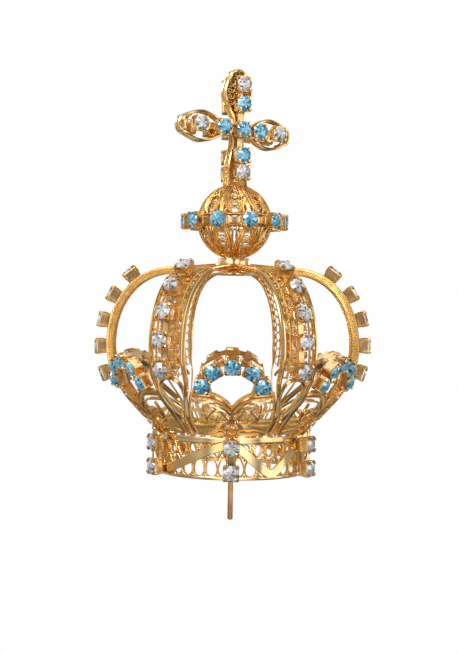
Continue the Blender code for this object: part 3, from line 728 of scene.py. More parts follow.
    def _link(self, mesh: Mesh, seats: list[Seat], loop: bool) -> None:
        """Run a thin strip under the seats of a chain."""
        rings = []
        half = self.strip_width / 2.0
        for seat in seats:
            frame = seat.frame()
            for along in (-0.46, 0.46):
                ring = np.array([(along * self.cup_width, -half, 0.0), (along * self.cup_width, half, 0.0),
                                 (along * self.cup_width, half, self.strip),
                                 (along * self.cup_width, -half, self.strip)])
                rings.append(ring @ frame + seat.place)
        mesh.bars(np.array(rings)[None], loop=loop)


def own(item: bpy.types.Object, node: str) -> bpy.types.Object:
    """Make a piece ride on the crown and stand for a node."""
    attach(item, BODY)
    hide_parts(node)
    LOG.info("%s stands for %s", item.name, node)
    return item


@dataclass
class Band:
    """The openwork band: rims, upright scrolls, the zigzag ribbon and the stone pairs."""

    outline: CageOutline
    loops: int = 36
    wall: float = 0.8 * MM
    wire: float = 0.26 * MM
    low_rim: float = 0.62 * MM
    top_rim: float = 1.15 * MM
    rim_swell: float = 0.06 * MM
    ribbon_width: float = 1.7 * MM
    ribbon_thickness: float = 0.4 * MM
    ribbon_edge: float = 0.4 * MM
    pair_levels: tuple[float, float] = (1.7 * MM, 6.4 * MM)

    def lay(self, across: np.ndarray, along: np.ndarray, up: np.ndarray) -> np.ndarray:
        """Lay a drawing on the band: across is the arc at its outside, along is height."""
        azimuth = across / self.outline.band_radius
        radius = (self.outline.band_radius + up)[..., None]
        return direction(azimuth) * radius + UP * along[..., None]

    def rim(self, mesh: Mesh, low: float, high: float) -> None:
        """Add a ring with rounded edges between two heights."""
        azimuth = ring_angles(144)
        soft = (high - low) * 0.18
        swell = self.rim_swell
        profile = ((-self.wall, low), (0.0, low), (swell, low + soft), (swell, high - soft),
                   (0.0, high), (-self.wall, high))
        rings = [self.lay(azimuth * self.outline.band_radius, np.full_like(azimuth, z),
                          np.full_like(azimuth, out)) for out, z in profile]
        mesh.bars(np.stack(rings, axis=1)[None, :, ::-1], loop=True, finish=POLISHED)

    def dress(self, finishes: Finishes) -> None:
        """Build the rims, the wirework, the ribbon and the stone pairs."""
        mesh = Mesh("band_filigree")
        height = self.outline.band_height
        self.rim(mesh, 0.0, self.low_rim)
        self.rim(mesh, height - self.top_rim, height)
        pitch = math.tau * self.outline.band_radius / self.loops
        column = np.arange(self.loops) * pitch
        base, crest = self.low_rim, height - self.top_rim
        clear = crest - base
        turn = ring_angles(26)
        egg = np.stack([np.sin(turn) * (1.0 + 0.32 * np.cos(turn)), -np.cos(turn)], axis=-1)
        tall = egg * np.array([pitch * 0.45, clear * 0.31])
        low = np.stack([column + pitch / 2.0, np.full(self.loops, base + clear * 0.30)], axis=-1)
        deep = -self.wall * 0.85
        lay_wires(mesh, self.lay, low[:, None] + tall, self.wire, deep, 0.0, loop=True)
        short = egg * np.array([pitch * 0.36, -clear * 0.19])
        high = np.stack([column, np.full(self.loops, crest - clear * 0.20)], axis=-1)
        lay_wires(mesh, self.lay, high[:, None] + short, self.wire, deep, -0.04 * MM, loop=True)
        curl = spiral(1.4, 0.10 * MM, pitch * 0.24, 20)
        tips = np.stack([column + pitch / 2.0, np.full(self.loops, base + clear * 0.78)], axis=-1)
        lean = np.full(self.loops, 1.2)
        curls = place_paths(curl, tips, np.ones(self.loops), lean, alternate(self.loops))
        lay_wires(mesh, self.lay, curls, self.wire * 0.85, -self.wall * 0.75, -0.08 * MM)
        spots = np.concatenate([np.stack([column + aside, np.full(self.loops, level)], axis=-1)
                                for aside, level in ((0.0, base + 0.12 * MM), (0.0, base + clear * 0.52),
                                                     (pitch / 2.0, crest - 0.12 * MM))])
        beads(mesh, self.lay(spots[:, 0], spots[:, 1], np.full(len(spots), -0.05 * MM)), 0.25 * MM)
        own(mesh.piece([finishes.filigree, finishes.polished]), "band")
        self.ribbon(finishes)
        for number in range(SIDES):
            azimuth = number * math.tau / SIDES
            reach = self.outline.band_radius + self.outline.gap * 2.0 + self.ribbon_thickness
            seats = [Seat(direction(azimuth) * reach + UP * z, UP, direction(azimuth))
                     for z in self.pair_levels]
            StoneSettings().dress(f"band_stones_{number + 1}", seats, finishes)

    def ribbon(self, finishes: Finishes) -> None:
        """Build the polished ribbon: it eases between high and low places round the band."""
        half = self.ribbon_width / 2.0
        low, high = self.ribbon_edge + half, self.outline.band_height - self.ribbon_edge - half
        turns = np.array([(0.0, high), (0.5, low), (1.0, high), (2.0, low), (3.0, high), (3.5, low),
                          (4.0, high), (5.0, low), (6.0, high)])
        bay = np.linspace(0.0, 6.0, 361)[:-1]
        leg = np.clip(np.searchsorted(turns[:, 0], bay, side="right") - 1, 0, len(turns) - 2)
        share = (bay - turns[leg, 0]) / (turns[leg + 1, 0] - turns[leg, 0])
        straight = np.clip((share - 0.5) * 1.12 + 0.5, 0.0, 1.0)
        z = turns[leg, 1] + (turns[leg + 1, 1] - turns[leg, 1]) * (0.55 * straight + 0.45 * ease(share))
        across = bay * math.tau / SIDES * self.outline.band_radius
        slope = np.gradient(z) / np.gradient(across)
        lean = np.minimum(np.sqrt(1.0 + slope ** 2), 1.35)
        foot, face = self.outline.gap, self.outline.gap + self.ribbon_thickness
        profile = ((foot, -1.0), (face - 0.10 * MM, -1.0), (face, -0.86), (face, 0.86),
                   (face - 0.10 * MM, 1.0), (foot, 1.0))
        edge = (self.ribbon_edge * 0.35, self.outline.band_height - self.ribbon_edge * 0.35)
        rings = [self.lay(across, np.clip(z + aside * half * lean, *edge), np.full_like(z, out))
                 for out, aside in profile]
        mesh = Mesh("band_ribbon_polished")
        mesh.bars(np.stack(rings, axis=1)[None, :, ::-1], loop=True)
        own(mesh.piece([finishes.polished], sharp=25.0), "band_ribbon")


@dataclass
class Arch:
    """One arch: a pair of rails with wirework between them, open like a drop at the foot."""

    outline: CageOutline
    number: int
    width: float = 7.3 * MM
    end_width: float = 4.0 * MM
    stem_width: float = 2.0 * MM
    rail_width: float = 0.8 * MM
    thickness: float = 1.4 * MM
    sink: float = 0.4 * MM
    drop_bottom: float = 11.2 * MM
    drop_top: float = 19.5 * MM
    drop_width: float = 4.5 * MM
    chain_first_heights: tuple[float, ...] = (21.6, 20.5, 20.8, 20.8, 19.8, 21.6)
    chain_pitch: float = 4.95 * MM
    stones: int = 5
    web_foot: float = -0.60 * MM
    web_crest: float = -0.22 * MM
    web_wire: float = 0.20 * MM
    web_rail: float = 0.44 * MM
    rear_rail: float = 0.34 * MM
    inner_gap: float = 1.12 * MM
    border_width: float = 0.80 * MM
    rear_border: float = 1.8 * MM
    rail_side: tuple[tuple[float, float], ...] = ((0.55, -1.0), (0.75, -0.90), (0.75, -0.62),
                                                  (0.30, -0.54), (0.30, -0.46), (1.0, -0.36),
                                                  (1.0, -0.10), (0.55, 0.0))
    slim_share: float = 0.40
    slim_height: float = 4.0 * MM
    loop_pitch: float = 1.75 * MM
    loop_width: float = 0.52 * MM
    loop_inset: float = 0.56 * MM
    coil_turns: float = 1.9
    coil_radius: float = 0.80 * MM
    coil_place: float = 0.98 * MM
    grain: float = 0.17 * MM
    grain_pitch: float = 0.44 * MM
    grain_columns: int = 8

    @property
    def azimuth(self) -> float:
        """Give the arch's azimuth."""
        return (self.number - 0.5) * math.tau / SIDES

    @property
    def rear(self) -> bool:
        """Tell whether the arch stands at the back."""
        return math.cos(self.azimuth) < -0.1

    def half_width(self, length: np.ndarray | float) -> np.ndarray:
        """Give half the width: a stem at the foot, full at the bulge, drawn in at the collar."""
        place = self.outline.at(length)
        start = self.drop_bottom - self.rail_width
        spread = ease((place[..., 1] - start) / (self.drop_top - start))
        full = self.stem_width + (self.width - self.stem_width) * spread
        end = self.outline.collar_radius + self.outline.gap
        turn_in = self.outline.shoulder_radius + self.outline.collar_radius - end
        draw = 1.0 - ease((place[..., 0] - end) / turn_in)
        above = np.asarray(length) > self.outline.length_at_height(self.outline.bulge_z)
        return (full + np.where(above, (self.end_width - self.width) * draw, 0.0)) / 2.0

    def lay(self, across: np.ndarray, along: np.ndarray, up: np.ndarray) -> np.ndarray:
        """Lay a drawing on the arch: across is sideways, along is arc length up the outline."""
        place, normal = self.outline.at(along), self.outline.normal(along)
        out, side = direction(self.azimuth), sideways(self.azimuth)
        radius = place[..., 0] + normal[..., 0] * up
        z = place[..., 1] + normal[..., 1] * up
        return out * radius[..., None] + side * across[..., None] + UP * z[..., None]

    def drop_half_width(self, z: np.ndarray) -> np.ndarray:
        """Give half the drop's width at a height, from the same curve that cuts the solid."""
        middle, half = (self.drop_top + self.drop_bottom) / 2.0, (self.drop_top - self.drop_bottom) / 2.0
        turn = np.arccos(np.clip((middle - z) / half, -1.0, 1.0))
        return self.drop_width / 2.0 * np.sin(turn) * np.sin(turn / 2.0) * 1.3

    def dress(self, finishes: Finishes) -> None:
        """Build the rails, the wirework and the stones."""
        mesh = Mesh(f"arch_{self.number}_filigree")
        self.rails(mesh)
        self.drop_border(mesh)
        self.infill(mesh)
        own(mesh.piece([finishes.granules, finishes.polished]), f"arch_{self.number}")
        seats = []
        first = self.chain_first_heights[self.number - 1] * MM
        out = direction(self.azimuth)
        for index in range(self.stones):
            length = float(self.outline.length_at_height(first)) + index * self.chain_pitch
            lean = self.outline.normal(length)
            normal = out * lean[0] + UP * lean[1]
            run = UP * lean[0] - out * lean[1]
            place = self.lay(np.array(0.0), np.array(length), np.array(self.outline.gap - self.sink))
            seats.append(Seat(place, run, normal))
        StoneSettings().dress(f"arch_stones_{self.number}", seats, finishes)

    def rails(self, mesh: Mesh) -> None:
        """Run an outer rail and an inner ribbon up each side."""
        along = np.linspace(0.0, self.outline.total, 90)
        half = self.half_width(along)
        outer = self.rear_rail if self.rear else self.web_rail
        web = along > self.outline.length_at_height(self.drop_top - 0.4 * MM)
        for sign in (-1.0, 1.0):
            edge = np.stack([sign * (half - outer / 2.0), along], axis=-1)
            self.rail(mesh, edge, outer)
            share = (half[web] - outer) / (self.width / 2.0 - outer)
            second = np.stack([sign * (half[web] - outer - self.inner_gap * share), along[web]], axis=-1)
            lay_wires(mesh, self.lay, second[None], self.web_wire, self.web_foot,
                      self.web_crest + 0.06 * MM)

    def drop_border(self, mesh: Mesh) -> None:
        """Border the drop at the foot; a rear arch has only the top of that border."""
        low = self.drop_top - self.rear_border if self.rear else self.drop_bottom + 0.02 * MM
        z = np.linspace(low, self.drop_top - 0.02 * MM, 28)
        length = self.outline.length_at_height(z)
        wide = self.drop_half_width(z) + 0.25 * MM
        right, left = np.stack([wide, length], axis=-1), np.stack([-wide, length], axis=-1)
        width = self.border_width * (0.5 if self.rear else 1.0)
        lay_wires(mesh, self.lay, np.concatenate([right, left[::-1]])[None], width, -0.55 * MM,
                  0.04 * MM, loop=not self.rear, finish=POLISHED)

    def rail(self, mesh: Mesh, edge: np.ndarray, width: float) -> None:
        """Run a rail whose sides are grooved, with a rounded crest and a thinner foot.

        A rear arch's rail is slim in both ways at its foot and eases to full above the drop.
        """
        right = np.array(self.rail_side) * np.array([width / 2.0, self.thickness])
        left = right[::-1] * np.array([-1.0, 1.0])
        shape = np.roll(np.concatenate([right, left]), 1, axis=0)
        ahead = unit(np.gradient(edge, axis=0))
        aside = np.stack([-ahead[:, 1], ahead[:, 0]], axis=-1)
        rise = self.outline.at(edge[:, 1])[:, 1] - self.drop_top
        full = self.slim_share + (1.0 - self.slim_share) * ease(rise / self.slim_height)
        slim = full if self.rear else np.ones(len(edge))
        places = edge[:, None] + aside[:, None] * shape[None, :, :1] * slim[:, None, None]
        up = shape[None, :, 1] * slim[:, None]
        finish = WIREWORK if abs(math.cos(self.azimuth)) < 0.1 else POLISHED
        mesh.bars(self.lay(places[..., 0], places[..., 1], up)[None, :, ::-1], finish=finish)

    def infill(self, mesh: Mesh) -> None:
        """Fill the web: open loops beside each rail, coils down the middle and grains over them."""
        start = float(self.outline.length_at_height(self.drop_top)) + 0.5 * MM
        end = self.outline.total - 0.5 * MM
        rows = int((end - start) / self.loop_pitch)
        along = start + (np.arange(rows) + 0.5) * (end - start) / rows
        clear = self.half_width(along) - self.web_rail
        share = clear / (self.width / 2.0 - self.web_rail)
        coil = spiral(self.coil_turns, 0.10 * MM, self.coil_radius, 28)
        wire = (self.web_wire, self.web_foot, self.web_crest)
        for sign in (-1.0, 1.0):
            seats = np.stack([sign * (clear - self.loop_inset * share), along + sign * 0.2 * MM], axis=-1)
            size = np.stack([self.loop_width * share, np.full(rows, self.loop_pitch * 0.50)], axis=-1)
            lay_wires(mesh, self.lay, seats[:, None] + circle(18) * size[:, None], *wire, loop=True)
            middle = np.stack([sign * self.coil_place * share, along - sign * 0.3 * MM], axis=-1)
            lean = self.coil_turns * np.arange(rows) + sign
            coils = place_paths(coil, middle, share, lean, alternate(rows) * sign)
            lay_wires(mesh, self.lay, coils, *wire)
        self.grains(mesh, start, end)

    def grains(self, mesh: Mesh, start: float, end: float) -> None:
        """Scatter fine grains over the middle of the web."""
        rows, columns = int((end - start) / self.grain_pitch), self.grain_columns
        along = np.repeat(np.linspace(start, end, rows), columns)
        order = np.arange(rows * columns)
        chance = chances(order, self.number * 7.31)
        jitter = np.modf(order * 0.618034)[0] - 0.5
        half = (self.half_width(along) - self.web_rail) * 0.66
        across = (np.tile(np.linspace(-1.0, 1.0, columns), rows) + 0.16 * jitter) * half
        kept = chance > 0.30
        up = self.web_crest - 0.05 * MM - 0.16 * MM * chance[kept]
        beads(mesh, self.lay(across[kept], along[kept] + 0.2 * MM * jitter[kept], up), self.grain)


@dataclass
class Fleuron:
    """A pair of leaf lobes built of nested ribbons, with a bow of blue stones over them."""

    outline: CageOutline
    arch: Arch
    number: int
    wall: float = 0.9 * MM
    notch_z: float = 14.0 * MM
    side_z: float = 17.0 * MM
    rear_notch_z: float = 10.6 * MM
    rear_end_z: float = 12.5 * MM
    lobe: float = 0.68
    second: tuple[float, float] = (1.80, 0.42)
    rear_second: tuple[float, float] = (1.1, 0.26)
    eye_centre: tuple[float, float] = (0.33, 0.44)
    eye_size: tuple[float, float] = (0.25, 0.17)
    eye_lean: float = -0.28
    curls: tuple[tuple[tuple[float, float], float], ...] = (((0.27, 0.45), 0.085), ((0.43, 0.41), 0.055))
    bars: tuple[tuple[float, float], ...] = ((0.36, 0.02), (0.53, 0.08))
    flow_crests: tuple[float, ...] = (0.0, -0.18, 0.02)
    front_crest: tuple[tuple[float, float, float, int], ...] = (
        (0.52, 0.92, -0.08, POLISHED), (0.10, 0.20, 0.02, WIREWORK), (1.00, 0.20, -0.02, WIREWORK))
    rear_crest: tuple[tuple[float, float, float, int], ...] = ((0.30, 0.50, -0.08, POLISHED),)
    bow_half_width: float = 5.6 * MM
    bow_rise: float = 4.5 * MM
    bow_step: float = math.radians(41.0)
    bow_lift: float = 0.5 * MM
    bow_tilt: float = math.radians(22.0)
    bow_standoff: float = 0.9 * MM

    @property
    def azimuth(self) -> float:
        """Give the fleuron's azimuth."""
        return (self.number - 1) * math.tau / SIDES

    @property
    def rear(self) -> bool:
        """Tell whether the fleuron stands at the back."""
        return math.cos(self.azimuth) < 0.0

    def reach(self, z: np.ndarray) -> np.ndarray:
        """Give how far round the fleuron runs at a height before it meets an arch."""
        length = self.outline.length_at_height(z)
        radius = self.outline.at(length)[..., 0]
        clear = (self.arch.half_width(length) + self.outline.gap * 1.3) / (radius - self.wall)
        return math.tau / (2 * SIDES) - np.arcsin(clear)

    def height(self, across: np.ndarray) -> np.ndarray:
        """Give how far the crest stands over the band: level beside the arches, two points at the rear."""
        foot = self.outline.band_height + self.outline.gap
        away = np.clip(np.abs(across), 0.0, 1.0)
        if not self.rear:
            return self.notch_z + (self.side_z - self.notch_z) * (1.0 - (1.0 - away) ** 4) - foot
        climb = self.rear_notch_z + (self.side_z - self.rear_notch_z) * (away / self.lobe) ** 3
        fall = self.side_z + (self.rear_end_z - self.side_z) * (away - self.lobe) / (1.0 - self.lobe)
        return np.where(away <= self.lobe, climb, fall) - foot

    def lay(self, across: np.ndarray, along: np.ndarray, up: np.ndarray) -> np.ndarray:
        """Lay a drawing on the fleuron: across from -1 to 1 between the arches, along 0 to 1 up."""
        z = self.outline.band_height + self.outline.gap + self.height(across) * along
        length = self.outline.length_at_height(z)
        place, normal = self.outline.at(length), self.outline.normal(length)
        azimuth = self.azimuth + across * self.reach(z)
        radius = place[..., 0] + normal[..., 0] * up
        return direction(azimuth) * radius[..., None] + UP * (z + normal[..., 1] * up)[..., None]

    def eye(self) -> np.ndarray:
        """Draw the lobe's eye: a leaf, pointed at both ends, that leans."""
        turn = ring_angles(30)
        along = np.cos(turn) * self.eye_size[0]
        aside = np.sin(turn) * np.abs(np.sin(turn)) ** 0.45 * self.eye_size[1]
        leaf = np.stack([along, aside], axis=-1)
        return turned(leaf, self.eye_lean) + np.array(self.eye_centre)

    def dress(self, finishes: Finishes) -> None:
        """Build both lobes and the bow."""
        mesh = Mesh(f"fleuron_{self.number}_leaves")
        base = np.linspace(-0.985, 0.985, 61)
        foot = np.stack([base, np.full_like(base, 0.035)], axis=-1)
        lay_ribbons(mesh, self.lay, foot[None], 0.36 * MM, -self.wall, 0.0, POLISHED)
        self.crest(mesh)
        for sign in (-1.0, 1.0):
            self.half_leaf(mesh, np.array([sign, 1.0]))
        seam = np.stack([np.zeros(16), np.linspace(0.05, 0.95, 16)], axis=-1)
        lay_ribbons(mesh, self.lay, seam[None], 0.30 * MM, -0.7 * MM, 0.0, POLISHED)
        self.knot(mesh)
        own(mesh.piece([finishes.filigree, finishes.polished]), f"fleuron_{self.number}")
        self.bow(finishes)

    def half_leaf(self, mesh: Mesh, flip: np.ndarray) -> None:
        """Build one lobe: a border, an eye, bars with slots between them and a closed, flowing foot."""
        def run(line: np.ndarray, width: float, low: float, high: float, finish: int = POLISHED,
                loop: bool = False) -> None:
            """Lay one ribbon on this lobe; its section is given in millimetres."""
            lay_ribbons(mesh, self.lay, (line * flip)[None], width * MM, low * MM, high * MM, finish, loop)

        side = np.linspace(0.03, 0.92, 30)
        run(np.stack([np.full_like(side, 0.965), side], axis=-1), 0.55, -self.wall / MM, 0.0)
        way = np.linspace(0.0, 1.0, 30)
        drop, width = self.rear_second if self.rear else self.second
        crest = self.height(0.04 + 0.90 * way)
        run(np.stack([0.04 + 0.90 * way, 1.0 - drop * MM / crest], axis=-1), width, -0.70, -0.02)
        run(self.eye(), 0.34, -0.65, 0.04, loop=True)
        for centre, size in self.curls:
            curl = spiral(1.3, 0.3, 1.0, 20) * np.array([size, size * 0.9]) + np.array(centre)
            run(curl, 0.24, -0.55, -0.10, WIREWORK)
        for level, rise in self.bars:
            run(np.stack([0.58 + 0.38 * way, level + rise * way], axis=-1), 0.26, -0.65, -0.02, WIREWORK)
        run(np.stack([0.60 + 0.06 * way, 0.30 + 0.42 * way], axis=-1), 0.34, -0.65, -0.06)
        for order, crest_up in enumerate(self.flow_crests):
            sway = 0.045 * np.sin(math.pi * (1.2 * way + 0.30 * order))
            flow = np.stack([0.02 + 0.93 * way, 0.09 + 0.095 * order + sway], axis=-1)
            run(flow, 0.44, -0.55, crest_up)
        self.foot_plate(mesh, flip)

    def foot_plate(self, mesh: Mesh, flip: np.ndarray) -> None:
        """Close the lobe's foot behind its flowing lines."""
        across = np.linspace(0.01, 0.96, 20) * flip[0]
        rings = []
        for share, up in ((0.03, -0.50), (0.36, -0.50), (0.36, -0.30), (0.03, -0.30)):
            rings.append(self.lay(across, np.full(20, share), np.full(20, up * MM)))
        grid = np.stack(rings, axis=1)[None]
        mesh.bars(grid if flip[0] > 0 else grid[:, :, ::-1])

    def crest(self, mesh: Mesh) -> None:
        """Run a wide smooth ribbon over both lobes; at the front a thin wire runs along each of its edges.
        """
        across = np.linspace(-0.985, 0.985, 61)
        high = self.height(across)
        for drop, width, up, finish in self.rear_crest if self.rear else self.front_crest:
            line = np.stack([across, 1.0 - drop * MM / high], axis=-1)
            lay_ribbons(mesh, self.lay, line[None], width * MM, -self.wall, up * MM, finish)

    def knot(self, mesh: Mesh) -> None:
        """Solder a small knot of loops and balls over the seam's foot."""
        for place in ((0.0, 0.25), (-0.075, 0.10), (0.075, 0.10)):
            loop = circle(14) * np.array([0.075, 0.10]) + np.array(place)
            lay_ribbons(mesh, self.lay, loop[None], 0.26 * MM, 0.0, 0.42 * MM, POLISHED, loop=True)
        spots = np.array([(0.0, 0.16), (-0.10, 0.20), (0.10, 0.20), (0.0, 0.36)])
        beads(mesh, self.lay(spots[:, 0], spots[:, 1], np.full(4, 0.30 * MM)), 0.27 * MM)

    def bow(self, finishes: Finishes) -> None:
        """Set five blue stones on an arc over the lobes, turned a little down."""
        out, side = direction(self.azimuth), sideways(self.azimuth)
        axis = out * math.cos(self.bow_tilt) - UP * math.sin(self.bow_tilt)
        rise = out * math.sin(self.bow_tilt) + UP * math.cos(self.bow_tilt)
        depth = 2.7 * MM
        reach = float(self.outline.at(self.outline.length_at_height(self.side_z))[0]) + self.bow_standoff
        middle = out * reach + UP * (self.side_z + self.bow_lift) - axis * depth
        seats = []
        for index in range(5):
            turn = self.bow_step * (index - 2)
            place = (middle + side * (self.bow_half_width * math.sin(turn))
                     + rise * (self.bow_rise * math.cos(turn)))
            run = side * (self.bow_half_width * math.cos(turn)) - rise * (self.bow_rise * math.sin(turn))
            seats.append(Seat(place, run, axis, blue=True))
        StoneSettings().dress(f"fleuron_stones_{self.number}", seats, finishes)


@dataclass
class Orb:
    """The collar, the orb of nested petal ribbons and its belt of blue stones."""

    outline: CageOutline
    radius: float = 7.45 * MM
    wall: float = 0.7 * MM
    collar_top: float = 42.4 * MM
    collar_wall: float = 0.8 * MM
    plate_radius: float = 5.6 * MM
    plate: float = 0.5 * MM
    arch_thickness: float = 1.4 * MM
    belt_standoff: float = 0.3 * MM
    petals: int = 8
    rings: tuple[tuple[float, float], ...] = ((0.0, 1.0), (9.0, 0.34), (-9.0, 0.34), (77.0, 0.5),
                                              (-77.0, 0.5))
    upper_ribs: tuple[tuple[float, float], ...] = ((0.0, 0.64),)
    lower_ribs: tuple[tuple[float, float], ...] = ((-0.062, 0.30), (0.062, 0.30))
    loops: tuple[tuple[float, float, float], ...] = ((24.0, 0.125, 0.085), (37.0, 0.135, 0.095),
                                                     (49.0, 0.11, 0.080), (59.0, 0.09, 0.060))
    belt_azimuths: tuple[float, ...] = (17.0, 52.0, 88.0, 124.0, 160.0, 196.0, 232.0, 270.0,
                                        306.0, 341.0)

    @property
    def centre(self) -> float:
        """Give the height of the orb's centre over its seat on the collar."""
        seat = self.outline.collar_radius - self.collar_wall
        return self.collar_top + math.sqrt((self.radius + self.outline.gap) ** 2 - seat ** 2)

    def lay(self, across: np.ndarray, along: np.ndarray, up: np.ndarray) -> np.ndarray:
        """Lay a drawing on the orb: across is azimuth, along is latitude."""
        reach = self.radius + up
        height = self.centre + reach * np.sin(along)
        return direction(across) * (reach * np.cos(along))[..., None] + UP * height[..., None]

    def petal(self, azimuth: float, low: float, high: float, half: float, count: int = 30) -> np.ndarray:
        """Draw a petal between two latitudes, pointed at both ends, as azimuth and latitude."""
        turn = ring_angles(count)
        latitude = (low + high) / 2.0 + (high - low) / 2.0 * np.sin(turn)
        spread = half * np.cos(turn) * np.abs(np.cos(turn)) ** 0.25
        return np.stack([azimuth + spread, latitude], axis=-1)

    def dress(self, finishes: Finishes) -> None:
        """Build the openwork ball, the collar and the belt."""
        mesh = Mesh("orb_filigree")
        azimuths = np.arange(self.petals) * math.tau / self.petals
        round_way = ring_angles(96)
        for degrees, width in self.rings:
            ring = np.stack([round_way, np.full_like(round_way, math.radians(degrees))], axis=-1)
            lay_ribbons(mesh, self.lay, ring[None], width * MM, -self.wall, 0.0, POLISHED, loop=True)
        shift = math.tau / self.petals / 2.0
        for sign, turn in ((1.0, 0.0), (-1.0, shift)):
            flat = np.array([1.0, sign])
            latitude = np.linspace(math.radians(9.0), math.radians(80.0), 26)
            for azimuth in azimuths + turn + shift:
                for aside, width in self.upper_ribs if sign > 0.0 else self.lower_ribs:
                    rib = np.stack([np.full_like(latitude, azimuth + aside), latitude], axis=-1) * flat
                    lay_ribbons(mesh, self.lay, rib[None], width * MM, -self.wall, 0.0, POLISHED)
            for azimuth in azimuths + turn:
                self.lobe(mesh, azimuth, flat)
        for sign in (-1.0, 1.0):
            self.cap(mesh, sign)
        own(mesh.piece([finishes.filigree, finishes.polished]), "orb")
        self.collar(finishes)
        seats = []
        for degrees in self.belt_azimuths:
            azimuth = math.radians(degrees)
            reach = self.radius + self.outline.gap + self.belt_standoff
            seats.append(Seat(direction(azimuth) * reach + UP * self.centre,
                              sideways(azimuth), direction(azimuth), blue=True))
        StoneSettings().dress("orb_stones", seats, finishes, loop=True)

    def lobe(self, mesh: Mesh, azimuth: float, flat: np.ndarray) -> None:
        """Nest ribbons in one petal round open loops, and close the corner beside it."""
        def run(line: np.ndarray, width: float, foot: float, crest: float, loop: bool = True) -> None:
            """Lay one ribbon in this petal; its section is given in millimetres."""
            lay_ribbons(mesh, self.lay, (line * flat)[None], width * MM, foot * MM, crest * MM,
                        WIREWORK, loop)

        deep, shallow = -self.wall * 0.8 / MM, -self.wall * 0.6 / MM
        low, high = math.radians(10.0), math.radians(79.0)
        for order, shrink in enumerate((1.0, 0.80, 0.61)):
            reach = (high - low) / 2.0 * (0.62 + 0.38 * shrink)
            middle = (low + high) / 2.0 - math.radians(3.0) * order
            ring = self.petal(0.0, middle - reach, middle + reach, 0.335 * shrink)
            ring[:, 0] = azimuth + ring[:, 0] * np.cos(ring[:, 1]) ** -0.30
            run(ring, 0.33, deep, -0.20 if order % 2 else -0.02)
        for latitude, *size in self.loops:
            place = np.array([azimuth, math.radians(latitude)])
            run(circle(22) * np.array(size) + place, 0.26, shallow, -0.10)
        for side in (-1.0, 1.0):
            for latitude, aside, radius in ((30.5, 0.16, 0.045), (43.5, 0.155, 0.045)):
                coil = spiral(1.2, 0.012, radius, 18) * np.array([-side, 1.0])
                place = np.array([azimuth + side * aside, math.radians(latitude)])
                run(coil + place, 0.22, shallow, -0.14, loop=False)
            corner = self.petal(azimuth + side * math.tau / self.petals / 2.0 * 0.76, math.radians(9.5),
                                math.radians(30.0), 0.050, 20)
            run(corner, 0.24, shallow, -0.08)

    def cap(self, mesh: Mesh, sign: float) -> None:
        """Close a pole with a small domed disc."""
        turn = ring_angles(32)
        rings = []
        for degrees, up in ((76.0, -0.5), (76.0, 0.0), (80.0, 0.05), (85.0, 0.05), (89.0, 0.05)):
            latitude = np.full_like(turn, sign * math.radians(degrees))
            rings.append(self.lay(turn, latitude, np.full_like(turn, up * MM)))
        grid = np.stack(rings)
        mesh.shell(grid[:, ::-1] if sign < 0 else grid, finish=POLISHED)

    def collar(self, finishes: Finishes) -> None:
        """Turn the collar: a polished tube with a rolled rim, and the plate under the arches."""
        outer, inner = self.outline.collar_radius, self.outline.collar_radius - self.collar_wall
        plate_top = self.outline.crown_z - self.arch_thickness - self.outline.gap * 1.5
        bottom = plate_top - self.plate
        soft = 0.12 * MM
        profile = np.array([(inner, self.collar_top - soft), (inner + soft, self.collar_top),
                            (outer - soft, self.collar_top), (outer, self.collar_top - soft),
                            (outer - soft * 0.5, (self.collar_top + plate_top) / 2.0),
                            (outer, plate_top), (self.plate_radius - soft, plate_top),
                            (self.plate_radius, plate_top - soft), (self.plate_radius, bottom + soft),
                            (self.plate_radius - soft, bottom), (inner, bottom)])
        turn = ring_angles(72)
        rings = direction(turn)[:, None] * profile[None, :, :1] + UP * profile[None, :, 1:]
        mesh = Mesh("collar_polished")
        mesh.bars(rings[None], loop=True)
        own(mesh.piece([finishes.polished], sharp=50.0), "collar")


